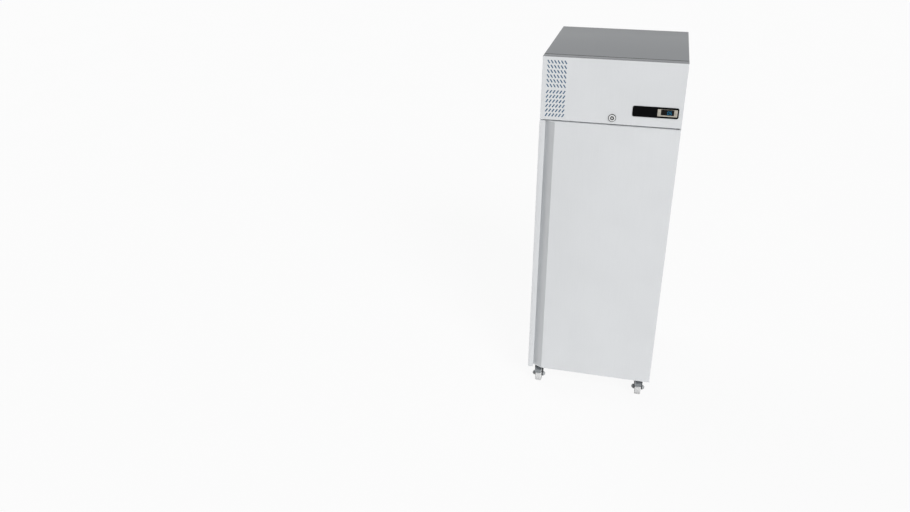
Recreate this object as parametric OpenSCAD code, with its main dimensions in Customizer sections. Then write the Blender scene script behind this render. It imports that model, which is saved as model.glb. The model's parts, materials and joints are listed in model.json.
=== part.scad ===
// Single-door upright refrigerator on castors, with its cooling unit behind a fascia above the door.
// Millimetres. The origin is on the floor under the middle of the cabinet, and the door faces -Y.

/* [Cabinet] */
// Width of the cabinet, the fascia and the door
cabinet_w = 730; // [690:1:850]
// Height from the floor to the top
cabinet_h = 2030; // [1900:1:2200]
// Depth of the body behind the door seal
body_d = 780; // [740:1:900]
// Thickness of the insulated walls, floor and ceiling, skins included
wall_t = 60; // [50:1:70]
// Thickness of the steel sheets
sheet_t = 1; // [0.8:0.1:1.4]
// Thickness of the frame that the door seal meets
frame_t = 3; // [2:0.5:5]
// Height of the skirts folded down from the top panels
top_skirt = 14; // [8:1:20]
// Open seam between the lid and the strip over the fascia
top_seam = 3; // [1:0.1:4]
// How far the rear grille is set in from the back
grille_recess = 20; // [18:1:30]
// Rows of slots in the rear grille
grille_rows = 8; // [4:1:10]
// Height of a slot in the rear grille
grille_slot_h = 8; // [5:0.5:12]

/* [Door] */
// Thickness of the door without its seal
door_t = 58; // [52:1:70]
// How far the door stands proud of the fascia
door_proud = 10; // [9:0.5:16]
// Gap between the door and the fascia
door_top_gap = 6; // [5.5:0.5:12]
// Height of the door's lower edge above the cabinet's base
door_rise = 15; // [12:0.5:25]
// Thickness of the door's end caps
door_cap_t = 6; // [4:0.5:10]
// Width of the handle rail along the free edge
rail_w = 32; // [28:1:45]
// Depth of the finger recess behind the rail
recess_d = 34; // [28:1:38]
// How far the recess reaches behind the rail
recess_undercut = 12; // [6:1:16]
// Distance from the free edge to where the recess meets the door's face
recess_end = 82; // [70:1:110]
// Thickness of the door seal
gasket_t = 10; // [8:0.5:14]
// Width of the door seal
gasket_w = 18; // [12:1:24]
// Distance of the seal from the door's edges
gasket_inset = 26; // [24:1:34]
// Height of the raised field inside the seal
field_rise = 6; // [3:0.5:7]

/* [Hinges] */
// Distance of the hinge axis from the door's hinged side
hinge_inset_x = 16; // [13:0.5:18]
// Distance of the hinge axis behind the door's face
hinge_inset_y = 24; // [20:0.5:28]
// Diameter of the hinge pins
hinge_pin_d = 10; // [8:0.5:12]
// Outer diameter of the hinge bushes
bush_d = 16; // [14:0.5:20]
// Length of the hinge bushes in the door
bush_l = 25; // [16:1:40]
// Thickness of the hinge brackets
bracket_t = 3; // [2.5:0.5:4]
// Width of the hinge brackets
bracket_w = 20; // [18:1:22]
// Length of the bracket flange on the frame
bracket_flange = 45; // [40:1:55]

/* [Fascia] */
// Height of the fascia
fascia_h = 333; // [320:1:390]
// Columns of vent slots
vent_columns = 6; // [4:1:8]
// Distance between the vent columns
vent_pitch_x = 17.6; // [17:0.1:22]
// Distance between the vent rows
vent_pitch_z = 24.8; // [22:0.1:28]
// Extra height between the upper and lower vent rows, over one pitch
vent_mid_gap = 7.2; // [0:0.1:15]
// Distance from the cabinet's left side to the first vent column
vent_x = 32; // [28:1:50]
// Height of the lowest vent row above the fascia's lower edge
vent_z = 26; // [24:1:40]
// Length of a vent slot
vent_slot_l = 21; // [14:0.5:22]
// Width of a vent slot
vent_slot_w = 6; // [4:0.5:6.5]
// Lean of the vent slots from upright
vent_lean = 34; // [20:1:36]
// Thickness of the air filter
filter_t = 8; // [5:0.5:15]
// Distance of the lock from the middle of the cabinet
lock_x = 12; // [-40:1:30]
// Height of the lock above the fascia's lower edge
lock_z = 32.5; // [30:0.5:44]
// Diameter of the lock's outer ring
lock_ring_d = 40; // [34:1:44]
// Diameter of the lock barrel
lock_barrel_d = 18; // [14:0.5:20]
// Length of the lock cam from the lock's axis
lock_cam_l = 58; // [56:0.5:66]
// Width of the lock cam
lock_cam_w = 20; // [14:0.5:22]

/* [Controller] */
// Width of the controller bezel
bezel_w = 232; // [180:1:240]
// Height of the controller bezel
bezel_h = 56; // [52:1:64]
// Thickness of the controller bezel
bezel_t = 4; // [3:0.5:6]
// Corner radius of the controller bezel
bezel_r = 9; // [4:0.5:14]
// Distance of the bezel from the cabinet's right side
bezel_margin = 21; // [15:1:40]
// Height of the bezel above the fascia's lower edge
bezel_z = 49.5; // [45:0.5:80]
// Width of the control panel in the bezel
panel_w = 99; // [96:1:110]
// Height of the control panel in the bezel
panel_h = 37; // [34:1:44]
// Width of the display window
display_w = 66; // [50:1:68]
// Height of the display window
display_h = 30; // [24:1:33]
// Width of a control key
key_w = 10; // [8:0.5:11]
// Height of a control key
key_h = 26; // [16:1:30]
// Travel of a control key
key_travel = 0.8; // [0.4:0.1:1.2]
// Depth of the controller housing behind the fascia
housing_d = 50; // [30:1:52]

/* [Shelves] */
// Width of a wire shelf
shelf_w = 530; // [470:1:540]
// Depth of a wire shelf
shelf_d = 650; // [560:1:660]
// Diameter of the shelf frame rods
shelf_rod_d = 8; // [6:0.5:10]
// Diameter of the shelf wires
shelf_wire_d = 4; // [3:0.5:5]
// Wires in a shelf
shelf_wires = 15; // [9:1:21]
// Slots in the posts from one shelf to the next
shelf_step = 7; // [5:1:7]
// Thickness of the shelf posts
post_t = 12; // [10:1:18]
// Width of the shelf posts
post_w = 24; // [18:1:32]
// Distance between the slots in the posts
post_pitch = 50; // [40:1:52]
// Thickness of the shelf runners
runner_t = 1.5; // [1.2:0.1:2]

/* [Castors] */
// Height of a castor from the floor to the cabinet's base
castor_h = 120; // [116:1:140]
// Diameter of a wheel
wheel_d = 90; // [80:1:92]
// Width of a wheel
wheel_w = 36; // [28:1:38]
// Diameter of a wheel axle
axle_d = 12; // [10:0.5:14]
// Diameter of the caps on a wheel axle
axle_cap_d = 26; // [22:1:32]
// Distance of the wheel axle in front of the swivel axis
castor_trail = 34; // [32:0.5:38]
// Distance of the swivel axis from the cabinet's side
castor_inset_x = 61; // [55:1:90]
// Distance of the swivel axis from the body's front and back
castor_inset_y = 40; // [40:1:80]
// Width of a castor plate
castor_plate_w = 80; // [78:1:95]
// Diameter of the castor's swivel head
swivel_d = 58; // [52:1:60]
// Angle that a brake pedal presses through
brake_press = 13; // [4:0.5:13]

/* [Cooling unit] */
// Width of the condenser coil
condenser_w = 260; // [230:1:270]
// Height of the condenser coil
condenser_h = 250; // [230:1:270]
// Depth of the condenser coil
condenser_d = 60; // [40:1:80]
// Diameter of the condenser fan
condenser_fan_d = 200; // [160:1:210]
// Diameter of the compressor shell
compressor_d = 190; // [150:1:200]
// Height of the compressor shell
compressor_h = 212; // [180:1:220]
// Height of the evaporator cover under the ceiling
evaporator_h = 125; // [115:1:140]
// Width of the evaporator cover
evaporator_w = 480; // [440:1:520]
// Depth of the evaporator cover
evaporator_d = 400; // [390:1:440]
// Diameter of the evaporator fan
evaporator_fan_d = 170; // [120:1:180]
// Distance between the coil fins
fin_pitch = 10; // [8:0.5:16]
// Diameter of the suction and discharge pipes
pipe_d = 10; // [8:0.5:12]
// Diameter of the liquid pipe
liquid_pipe_d = 6; // [5:0.5:8]
// Outer diameter of the drain pipe
drain_d = 18; // [14:0.5:22]

/* [Hidden] */
$fn = 48;
cut = 1;
steel = [0.84, 0.85, 0.86];
dark_steel = [0.58, 0.585, 0.59];
plastic_black = [0.08, 0.08, 0.09];
pale_grey = [0.9, 0.9, 0.9];
foam_yellow = [0.93, 0.86, 0.65];
copper = [0.72, 0.45, 0.3];
alu = [0.75, 0.76, 0.77];

// Clearances
loose = 0.2;
running = 0.05;
press_gap = 0.02;
swing_gap = 0.3;
seat_gap = 0.1;
shelf_clear = 1.5;

// Planes of the cabinet, from the door's face to the back
half_w = cabinet_w / 2;
total_d = door_t + gasket_t + body_d;
y_door = -total_d / 2;
y_fascia = y_door + door_proud;
y_door_back = y_door + door_t;
y_body = y_door_back + gasket_t;
y_back = total_d / 2;
y_grille = y_back - grille_recess - sheet_t;
skin_x = half_w - sheet_t;

// Levels of the cabinet, from the floor up
z_base = castor_h;
z_door = z_base + door_rise;
z_fascia = cabinet_h - fascia_h;
z_deck = z_fascia;
z_door_top = z_fascia - door_top_gap;
z_lid = cabinet_h - sheet_t;

// Faces of the storage space, at least as wide as the shelves and their runners and posts
shelf_side = shelf_clear + 2 * runner_t + post_t;
cabin_x = max(half_w - wall_t, shelf_w / 2 + shelf_side);
cabin_back = y_back - wall_t;
cabin_floor = z_base + wall_t;
cabin_top = z_deck - wall_t;

// Hinge axis and the levels of its brackets
hinge_x = half_w - hinge_inset_x;
hinge_y = y_door + hinge_inset_y;
bracket_clear = 0.6;
bracket_top_z = z_fascia - bracket_clear - bracket_t;
bracket_low_gap = 5;
bracket_low_z = z_door - bracket_low_gap - bracket_t;
bracket_seal_gap = 2;
bracket_x = half_w - gasket_inset + bracket_seal_gap;
bracket_screws = [14, 34];
bush_rim = 2;
bush_flange_d = bush_d + 2 * bush_rim;

// Lock
lock_level = z_fascia + lock_z;
lock_ring_t = 6;
lock_wall = 5;
lock_body_d = lock_barrel_d + 2 * lock_wall;
lock_body_l = 25;
lock_nut_t = 5;
lock_barrel_proud = 1.5;
lock_cam_t = 3;
lock_tail = 8;
y_cam = y_fascia + sheet_t + lock_body_l;
function cam_reach(drop) = sqrt(lock_cam_l * lock_cam_l - drop * drop);

// Controller
bezel_x1 = half_w - bezel_margin;
bezel_x0 = bezel_x1 - bezel_w;
bezel_level = z_fascia + bezel_z;
panel_inset = 7;
panel_x1 = bezel_x1 - panel_inset;
panel_x0 = panel_x1 - panel_w;
panel_mid_x = (panel_x0 + panel_x1) / 2;
panel_mid_z = bezel_level + bezel_h / 2;
panel_proud = 0.5;
y_panel_face = y_fascia - bezel_t - panel_proud;
panel_lip = 4;
display_t = 2;
display_top_edge = 0.8;
display_z1 = panel_mid_z + panel_h / 2 - display_top_edge;
display_z0 = display_z1 - display_h;
key_t = 3;
key_x = (display_w / 2 + panel_w / 2) / 2;

// Vent slots
vent_top_margin = 24;
vent_span = fascia_h - vent_z - vent_top_margin - vent_mid_gap - vent_pitch_z;
vent_half_rows = 1 + floor(vent_span / (2 * vent_pitch_z));
vent_upper_z = vent_z + vent_half_rows * vent_pitch_z + vent_mid_gap;
filter_edge = 16;

// Door sheet, from the back of the free edge round the front to the back of the hinged edge
y_field = y_door_back - sheet_t;
door_path = [
    [-half_w, y_field],
    [-half_w, y_door],
    [-half_w + rail_w, y_door],
    [-half_w + rail_w - recess_undercut, y_door + recess_d],
    [-half_w + recess_end, y_door],
    [half_w, y_door],
    [half_w, y_field]
];
handle_last = 4;
door_inside = inner_path(door_path, sheet_t);
door_core_z0 = z_door + door_cap_t;
door_core_z1 = z_door_top - door_cap_t;
field_edge = 10;

// Shelves
post_foot = 30;
post_z0 = cabin_floor + post_foot;
post_z1 = cabin_top - evaporator_h - post_foot;
post_slot_w = 8;
post_slot_h = 14;
post_slots = floor((post_z1 - post_z0) / post_pitch) - 1;
post_inset_y = 90;
post_y = [y_body + post_inset_y, cabin_back - post_inset_y];
post_x = cabin_x - post_t;
shelf_first = 4;
shelf_count = 3;
runner_flange = 24;
runner_guide = 10;
runner_bearing = 14;
runner_drop = 12;
runner_front_gap = 30;
runner_back_gap = 12;
hook_w = 6;
hook_h = 10;
shelf_back_gap = 20;
shelf_front = cabin_back - shelf_back_gap - shelf_d;
function slot_level(i) = post_z0 + (i + 1) * post_pitch;
function runner_level(i) = slot_level(shelf_first + i * shelf_step) - runner_drop;

// Castors: a swivel cup on the plate, and the fork's crown that turns under it
castor_plate_t = 4;
castor_cup_h = 6;
swivel_gap = 0.5;
crown_h = 12;
crown_z1 = castor_h - castor_plate_t - castor_cup_h - swivel_gap;
crown_z0 = crown_z1 - crown_h;
kingpin_d = 12;
kingpin_nut_d = 20;
kingpin_nut_h = 5;
wheel_side = 2;
fork_gap = wheel_w + 2 * wheel_side;
fork_leg_t = 5;
fork_out = fork_gap / 2 + fork_leg_t;
axle_z = wheel_d / 2;
axle_cap_l = 13;
bolt_d = 8;
bolt_head_d = 13;
bolt_head_h = 5.5;
bolt_edge = 10;
bolt_spread = castor_plate_w / 2 - bolt_edge;
brake_ahead = 2;
brake_above = 9;
brake_y = castor_trail + brake_ahead;
brake_z = wheel_d + brake_above;
brake_pin_d = 5;
brake_hub_d = 10;
FRONT_LEFT = [-(half_w - castor_inset_x), y_body + castor_inset_y, 0];
FRONT_RIGHT = [half_w - castor_inset_x, y_body + castor_inset_y, 0];
REAR_LEFT = [-(half_w - castor_inset_x), y_back - castor_inset_y, 0];
REAR_RIGHT = [half_w - castor_inset_x, y_back - castor_inset_y, 0];
CORNERS = [FRONT_LEFT, FRONT_RIGHT, REAR_LEFT, REAR_RIGHT];

// Condensing unit on the machine deck
condenser_side_gap = 18;
condenser_front_gap = 6;
condenser_x0 = -skin_x + condenser_side_gap;
condenser_x1 = condenser_x0 + condenser_w;
condenser_y0 = y_body + condenser_front_gap;
condenser_y1 = condenser_y0 + condenser_d;
fan_mid_x = (condenser_x0 + condenser_x1) / 2;
fan_mid_z = z_deck + condenser_h / 2;
shroud_t = 2;
shroud_ring_t = 3;
shroud_ring_l = 32;
fan_tip_gap = 3;
fan_hub_d = 60;
fan_hub_l = 22;
fan_shaft_d = 8;
fan_blade_t = 2;
fan_blades = 5;
fan_blade_pitch = 28;
y_ring_back = condenser_y1 + shroud_ring_l;
fan_coil_gap = 6;
y_fan = condenser_y1 + fan_coil_gap;
motor_d = 84;
motor_l = 70;
motor_arm_t = 6;
motor_arm_w = 12;
compressor_x = 150;
compressor_y = 110;
compressor_foot_d = 30;
compressor_foot_h = 25;
compressor_plate_t = 3;
compressor_rim = 20;
compressor_waist = 10;
compressor_plate_x = compressor_d + 2 * compressor_rim;
compressor_plate_y = compressor_d - compressor_waist;
compressor_z0 = z_deck + compressor_foot_h + compressor_plate_t;
box_w = 150;
box_d = 120;
box_h = 140;
gland_side = 90;
gland_rise = 60;
gland_x = -half_w + gland_side;
gland_z = z_deck + gland_rise;
gland_bore_d = 9;
gland_shank_d = 20;
gland_flange_d = 26;
gland_flange_t = 8;
gland_neck_l = 8;
gland_nut_t = 6;

// Evaporator under the ceiling of the storage space
evap_wall = 1.5;
evap_back_gap = 160;
evap_y1 = cabin_back - evap_back_gap;
evap_y0 = evap_y1 - evaporator_d;
evap_z0 = cabin_top - evaporator_h;
coil_d = 100;
coil_back_gap = 60;
coil_side_gap = 30;
coil_y0 = evap_y1 - coil_back_gap - coil_d;
coil_w = evaporator_w - 2 * coil_side_gap;
coil_top_gap = 8;
coil_z1 = cabin_top - coil_top_gap;
pan_h = 22;
pan_wall = 1.5;
pan_z0 = evap_z0 + evap_wall;
pan_coil_gap = 4;
pan_back_gap = 40;
coil_z0 = pan_z0 + pan_h + pan_coil_gap;
evap_fan_y = (evap_y0 + coil_y0) / 2;
fan_guard_gap = 6;
fan_motor_gap = 8;
evap_fan_z = evap_z0 + evap_wall + fan_guard_gap;
evap_fan_l = 20;
evap_motor_d = 80;
evap_motor_l = 45;
evap_motor_z = evap_fan_z + evap_fan_l + fan_motor_gap;
guard_bar = 4;
drain_wall = 2;
drain_lift = 1;
drain_z = pan_z0 + drain_d / 2 + drain_lift;
drain_y = cabin_back + wall_t / 2;
drain_out = 20;

// Pipe routes
suction_x = -20;
liquid_side_gap = 26;
liquid_x = condenser_x1 + liquid_side_gap;
riser_y = coil_y0 + coil_d / 2;
port_x = compressor_x - compressor_d / 2;
pipe_edge = 1;
pipe_y = condenser_y1 - pipe_d / 2 - pipe_edge;
pipe_step = 24;
discharge_x = suction_x - pipe_step;
discharge_drop = 30;
discharge_z = z_deck + condenser_h - discharge_drop;
discharge_port_rise = 116;
discharge_port_z = compressor_z0 + discharge_port_rise;
suction_port_rise = 53;
suction_port_z = compressor_z0 + suction_port_rise;
liquid_rise = 40;
liquid_z = z_deck + liquid_rise;
drier_d = 30;
drier_l = 110;
drier_run = 110;
drier_y = pipe_y + drier_run;

// Screws
screw_d = 5;
screw_head_d = 9;
screw_head_h = 2;
screw_grip = 6;

// Shapes shared by several pieces

// Box between two opposite corners
module block(lo, hi) {
    translate(lo) cube(hi - lo);
}

// Outline in X and Z made a plate between two planes of Y
module plate_xz(y0, y1) {
    translate([0, y1, 0]) rotate([90, 0, 0]) linear_extrude(y1 - y0) children();
}

// Outline in Y and Z made a plate between two planes of X
module plate_yz(x0, x1) {
    translate([x0, 0, 0]) rotate([90, 0, 90]) linear_extrude(x1 - x0) children();
}

// Outline in X and Y made a plate between two levels
module plate_xy(z0, z1) {
    translate([0, 0, z0]) linear_extrude(z1 - z0) children();
}

// Round bar along one axis
module rod(p, q, d) {
    v = q - p;
    turn = v.x != 0 ? [0, sign(v.x) * 90, 0] : v.y != 0 ? [-sign(v.y) * 90, 0, 0] : [v.z < 0 ? 180 : 0, 0, 0];
    translate(p) rotate(turn) cylinder(h = norm(v), d = d);
}

// Pipe along a route, with a wider brazed elbow at each turn
module pipe_run(route, d, elbow = 1.25) {
    for (i = [0 : len(route) - 2]) rod(route[i], route[i + 1], d);
    for (i = [1 : len(route) - 2]) translate(route[i]) sphere(d = elbow * d);
}

// Rectangle with round corners
module round_rect(lo, hi, r) {
    for (x = [lo.x + r, hi.x - r], y = [lo.y + r, hi.y - r]) translate([x, y]) circle(r);
    translate([lo.x + r, lo.y]) square([hi.x - lo.x - 2 * r, hi.y - lo.y]);
    translate([lo.x, lo.y + r]) square([hi.x - lo.x, hi.y - lo.y - 2 * r]);
}

// Mitred inner side of a bent sheet, at each bend of its path
function unit(v) = v / norm(v);
function left_of(v) = [-v.y, v.x];
function inner_point(path, t, i) =
    let (
        last = len(path) - 2,
        before = max(i - 1, 0),
        after = min(i, last),
        n1 = left_of(unit(path[before + 1] - path[before])),
        n2 = left_of(unit(path[after + 1] - path[after]))
    )
    path[i] + t * (n1 + n2) / (1 + n1 * n2);
function inner_path(path, t) = [for (i = [0 : len(path) - 1]) inner_point(path, t, i)];

// Outline of the door's sheet from one bend to another
module door_sheet(first, last) {
    outside = [for (i = [first : last]) door_path[i]];
    inside = [for (i = [last : -1 : first]) door_inside[i]];
    polygon(concat(outside, inside));
}

// Slot with round ends
function slot_outline(l, w, steps = 6) = [
    for (end = [0, 1], k = [0 : steps])
        let (a = end * 180 + k * 180 / steps)
        [w / 2 * cos(a), w / 2 * sin(a) + (end == 0 ? 1 : -1) * (l - w) / 2]
];

// Coil with through slots between its fins, and return bends at its ends
module fin_coil(lo, hi, pitch) {
    fin_t = 2;
    header = 10;
    bend_r = 12;
    bend_d = 8;
    sink = 0.5;
    gaps = floor((hi.x - lo.x - 2 * header) / pitch);
    first = (lo.x + hi.x - gaps * pitch) / 2;
    bends = floor((hi.z - lo.z - header) / (4 * bend_r));
    mid_y = (lo.y + hi.y) / 2;
    difference() {
        block(lo, hi);
        for (i = [0 : gaps - 1])
            block(
                [first + i * pitch + fin_t / 2, lo.y - cut, lo.z + header],
                [first + (i + 1) * pitch - fin_t / 2, hi.y + cut, hi.z - header]
            );
    }
    for (i = [0 : bends - 1], side = [-1, 1])
        translate([side < 0 ? lo.x + sink : hi.x - sink, mid_y, lo.z + header + (4 * i + 2) * bend_r])
            rotate([0, side * 90, 0])
                rotate([90, 0, 0])
                    rotate_extrude(angle = 180) translate([bend_r, 0]) circle(d = bend_d);
}

// Fan of pitched blades round a bored hub, along +Z
module fan_wheel(d, hub_d, hub_l, bore, blades) {
    chord = 0.22 * d;
    root = 3;
    difference() {
        union() {
            cylinder(h = hub_l, d = hub_d);
            intersection() {
                translate([0, 0, -hub_l]) cylinder(h = 3 * hub_l, d = d);
                for (i = [0 : blades - 1])
                    rotate([0, 0, i * 360 / blades])
                        translate([hub_d / 2 - root, 0, hub_l / 2])
                            rotate([fan_blade_pitch, 0, 0])
                                translate([0, -chord / 2, -fan_blade_t / 2])
                                    cube([d / 2, chord, fan_blade_t]);
            }
        }
        translate([0, 0, -cut]) cylinder(h = hub_l + 2 * cut, d = bore);
    }
}

// Screw with a cheese head whose top is at the origin, driven along +Y
module screw(grip) {
    drive_w = 1.2;
    drive_h = 1;
    difference() {
        union() {
            rod([0, 0, 0], [0, screw_head_h, 0], screw_head_d);
            rod([0, 0, 0], [0, grip, 0], screw_d);
        }
        block([-screw_head_d / 2, -cut, -drive_w / 2], [screw_head_d / 2, drive_h, drive_w / 2]);
    }
}

// Places of the screws in the hinge brackets, at the face of the flange
module at_hinge_screws() {
    for (offset = bracket_screws, upper = [true, false]) {
        level = upper ? bracket_top_z + bracket_t - offset : bracket_low_z + offset;
        translate([bracket_x + bracket_w / 2, y_body - bracket_t, level]) children();
    }
}

// Places of the screws in the rear grille, turned to face the back
module at_grille_screws() {
    edge = 14;
    for (x = [-1, 0, 1], z = [z_deck + edge, z_lid - top_skirt - edge])
        translate([x * (skin_x - edge), y_grille + sheet_t, z]) rotate([0, 0, 180]) children();
}

// Places of the bolts in the castor plates
module at_castor_bolts() {
    for (corner = CORNERS, x = [-1, 1], y = [-1, 1])
        translate(corner + [x * bolt_spread, y * bolt_spread, castor_h - castor_plate_t]) children();
}

// Cuts for the pipes that pass through the ceiling
module pipe_holes() {
    low = cabin_top - wall_t;
    high = z_deck + wall_t;
    rod([suction_x, riser_y, low], [suction_x, riser_y, high], pipe_d + 2 * loose);
    rod([liquid_x, riser_y, low], [liquid_x, riser_y, high], liquid_pipe_d + 2 * loose);
}

// Route of the drain: out of the pan, through the back wall and down inside it
drain_route = [
    [0, evap_y1 - pan_back_gap, drain_z],
    [0, drain_y, drain_z],
    [0, drain_y, z_base - drain_out]
];

module drain_hole() {
    pipe_run(
        [drain_route[0], drain_route[1], drain_route[2] - [0, 0, drain_out]],
        drain_d + 2 * loose
    );
}

// Cabinet shell

module side_panels() {
    color(steel)
        for (x = [-half_w, skin_x])
            block([x, y_body, z_base], [x + sheet_t, y_back, z_lid]);
}

module back_panel() {
    color(steel)
        block([-skin_x, y_back - sheet_t, z_base], [skin_x, y_back, z_deck]);
}

module base_panel() {
    color(steel)
        difference() {
            block([-skin_x, y_body, z_base], [skin_x, y_back - sheet_t, z_base + sheet_t]);
            at_castor_bolts() cylinder(h = 2 * wall_t, d = bolt_d + 2 * loose);
            drain_hole();
        }
}

module machine_deck() {
    color(dark_steel)
        difference() {
            block([-skin_x, y_body + frame_t, z_deck - sheet_t], [skin_x, y_back - sheet_t, z_deck]);
            pipe_holes();
        }
}

module top_panels() {
    skirt_z = z_lid - top_skirt;
    color(dark_steel) {
        block([-half_w, y_body + top_seam, z_lid], [half_w, y_back, cabinet_h]);
        difference() {
            block([-skin_x, y_body + top_seam, skirt_z], [skin_x, y_grille, z_lid]);
            block(
                [-skin_x + sheet_t, y_body + top_seam + sheet_t, skirt_z - cut],
                [skin_x - sheet_t, y_grille - sheet_t, z_lid]
            );
        }
        block([-half_w, y_fascia, z_lid], [half_w, y_body, cabinet_h]);
        block([-skin_x, y_fascia + sheet_t, skirt_z], [skin_x, y_fascia + 2 * sheet_t, z_lid]);
    }
}

module body_insulation() {
    color(foam_yellow)
        difference() {
            block(
                [-skin_x, y_body + frame_t, z_base + sheet_t],
                [skin_x, y_back - sheet_t, z_deck - sheet_t]
            );
            block(
                [-cabin_x - sheet_t, y_body, cabin_floor - sheet_t],
                [cabin_x + sheet_t, cabin_back + sheet_t, cabin_top + sheet_t]
            );
            pipe_holes();
            drain_hole();
        }
}

// Five sheets that meet at the inner edges
module inner_liner() {
    low = cabin_floor - sheet_t;
    high = cabin_top + sheet_t;
    side = cabin_x - seat_gap;
    back = cabin_back - seat_gap;
    color(steel) {
        for (x = [-cabin_x - sheet_t, cabin_x])
            block([x, y_body, low], [x + sheet_t, cabin_back + sheet_t, high]);
        block([-side, y_body, low], [side, back, cabin_floor]);
        difference() {
            block([-side, y_body, cabin_top], [side, back, high]);
            pipe_holes();
        }
        difference() {
            block([-side, cabin_back, low], [side, cabin_back + sheet_t, high]);
            drain_hole();
        }
    }
}

// Four strips round the door opening, the upper and lower ones between the others
module door_frame() {
    edge_x = cabin_x + sheet_t;
    cross_x = edge_x - seat_gap;
    low = z_base + sheet_t;
    y1 = y_body + frame_t;
    color(pale_grey)
        difference() {
            union() {
                block([-skin_x, y_body, low], [-edge_x, y1, z_deck]);
                block([edge_x, y_body, low], [skin_x, y1, z_deck]);
                block([-cross_x, y_body, low], [cross_x, y1, cabin_floor - sheet_t]);
                block([-cross_x, y_body, cabin_top + sheet_t], [cross_x, y1, z_deck]);
            }
            at_hinge_screws() rod([0, 0, 0], [0, wall_t, 0], screw_d + 2 * loose);
        }
}

// Fascia and what is set in it

module vent_slots() {
    for (col = [0 : vent_columns - 1], row = [0 : vent_half_rows - 1]) {
        x = -half_w + vent_x + col * vent_pitch_x;
        translate([x, z_fascia + vent_z + row * vent_pitch_z])
            rotate(-vent_lean) polygon(slot_outline(vent_slot_l, vent_slot_w));
        translate([x, z_fascia + vent_upper_z + row * vent_pitch_z])
            rotate(vent_lean) polygon(slot_outline(vent_slot_l, vent_slot_w));
    }
}

module fascia_panel() {
    hole_w = panel_w / 2 - panel_lip + loose;
    hole_h = panel_h / 2 - panel_lip + loose;
    color(steel)
        difference() {
            block([-half_w, y_fascia, z_fascia], [half_w, y_body, z_lid]);
            block([-skin_x, y_fascia + sheet_t, z_fascia + sheet_t], [skin_x, y_body + cut, z_lid + cut]);
            plate_xz(y_fascia - cut, y_fascia + sheet_t + cut) vent_slots();
            rod(
                [lock_x, y_fascia - cut, lock_level],
                [lock_x, y_fascia + lock_body_l, lock_level],
                lock_body_d + 2 * loose
            );
            block(
                [panel_mid_x - hole_w, y_fascia - cut, panel_mid_z - hole_h],
                [panel_mid_x + hole_w, y_fascia + sheet_t + cut, panel_mid_z + hole_h]
            );
            block(
                [lock_x - lock_cam_w / 2 - cut, y_cam - cut, z_fascia - cut],
                [
                    lock_x + cam_reach(lock_z - sheet_t) + cut,
                    y_cam + lock_cam_t + cut,
                    z_fascia + sheet_t + cut
                ]
            );
        }
}

module air_filter() {
    rim = 6;
    pad_t = filter_t / 2;
    x0 = -half_w + vent_x - filter_edge;
    x1 = -half_w + vent_x + (vent_columns - 1) * vent_pitch_x + filter_edge;
    z0 = z_fascia + vent_z - filter_edge;
    z1 = z_lid - top_skirt - loose;
    y0 = y_fascia + sheet_t;
    y1 = y0 + filter_t;
    color([0.55, 0.62, 0.68])
        difference() {
            block([x0, y0, z0], [x1, y1, z1]);
            block([x0 + rim, y0 + pad_t, z0 + rim], [x1 - rim, y1 + cut, z1 - rim]);
        }
}

module rear_grille() {
    slot_w = 250;
    margin = 40;
    step = (fascia_h - top_skirt - 2 * margin) / (grille_rows - 1);
    color(steel)
        difference() {
            block([-skin_x, y_grille, z_deck], [skin_x, y_grille + sheet_t, z_lid]);
            for (row = [0 : grille_rows - 1], x = [-1, 1])
                if (row > 1 || x > 0)
                    translate([x * (slot_w / 2 + margin), 0, z_deck + margin + row * step])
                        plate_xz(y_grille - cut, y_grille + sheet_t + cut)
                            rotate(90) polygon(slot_outline(slot_w, grille_slot_h));
            rod([gland_x, y_grille - cut, gland_z], [gland_x, y_back, gland_z], gland_shank_d + 2 * seat_gap);
            at_grille_screws() rod([0, 0, 0], [0, wall_t, 0], screw_d + 2 * seat_gap);
        }
}

module controller_bezel() {
    gap = seat_gap;
    color(plastic_black)
        plate_xz(y_fascia - bezel_t, y_fascia)
            difference() {
                round_rect([bezel_x0, bezel_level], [bezel_x1, bezel_level + bezel_h], bezel_r);
                translate([panel_x0 - gap, panel_mid_z - panel_h / 2 - gap])
                    square([panel_w + 2 * gap, panel_h + 2 * gap]);
            }
}

module controller_housing() {
    body_w = panel_w / 2 - panel_lip;
    body_h = panel_h / 2 - panel_lip;
    color([0.76, 0.74, 0.7])
        difference() {
            union() {
                block(
                    [panel_x0, y_panel_face, panel_mid_z - panel_h / 2],
                    [panel_x1, y_fascia, panel_mid_z + panel_h / 2]
                );
                block(
                    [panel_mid_x - body_w, y_fascia - cut, panel_mid_z - body_h],
                    [panel_mid_x + body_w, y_fascia + housing_d, panel_mid_z + body_h]
                );
            }
            block(
                [panel_mid_x - display_w / 2, y_panel_face - cut, display_z0],
                [panel_mid_x + display_w / 2, y_panel_face + display_t, display_z1]
            );
            for (side = [-1, 1])
                translate([panel_mid_x + side * key_x, y_panel_face, panel_mid_z])
                    block(
                        [-key_w / 2 - loose, -cut, -key_h / 2 - loose],
                        [key_w / 2 + loose, key_t, key_h / 2 + loose]
                    );
        }
}

module controller_display() {
    gap = seat_gap;
    color([0.05, 0.06, 0.08])
        block(
            [panel_mid_x - display_w / 2 + gap, y_panel_face, display_z0 + gap],
            [panel_mid_x + display_w / 2 - gap, y_panel_face + display_t, display_z1 - gap]
        );
}

module control_key(side) {
    color([0.7, 0.68, 0.64])
        translate([panel_mid_x + side * key_x, y_panel_face, panel_mid_z])
            block([-key_w / 2, -key_travel, -key_h / 2], [key_w / 2, key_t - key_travel - loose, key_h / 2]);
}

module key_left() {
    control_key(-1);
}

module key_right() {
    control_key(1);
}

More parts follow.
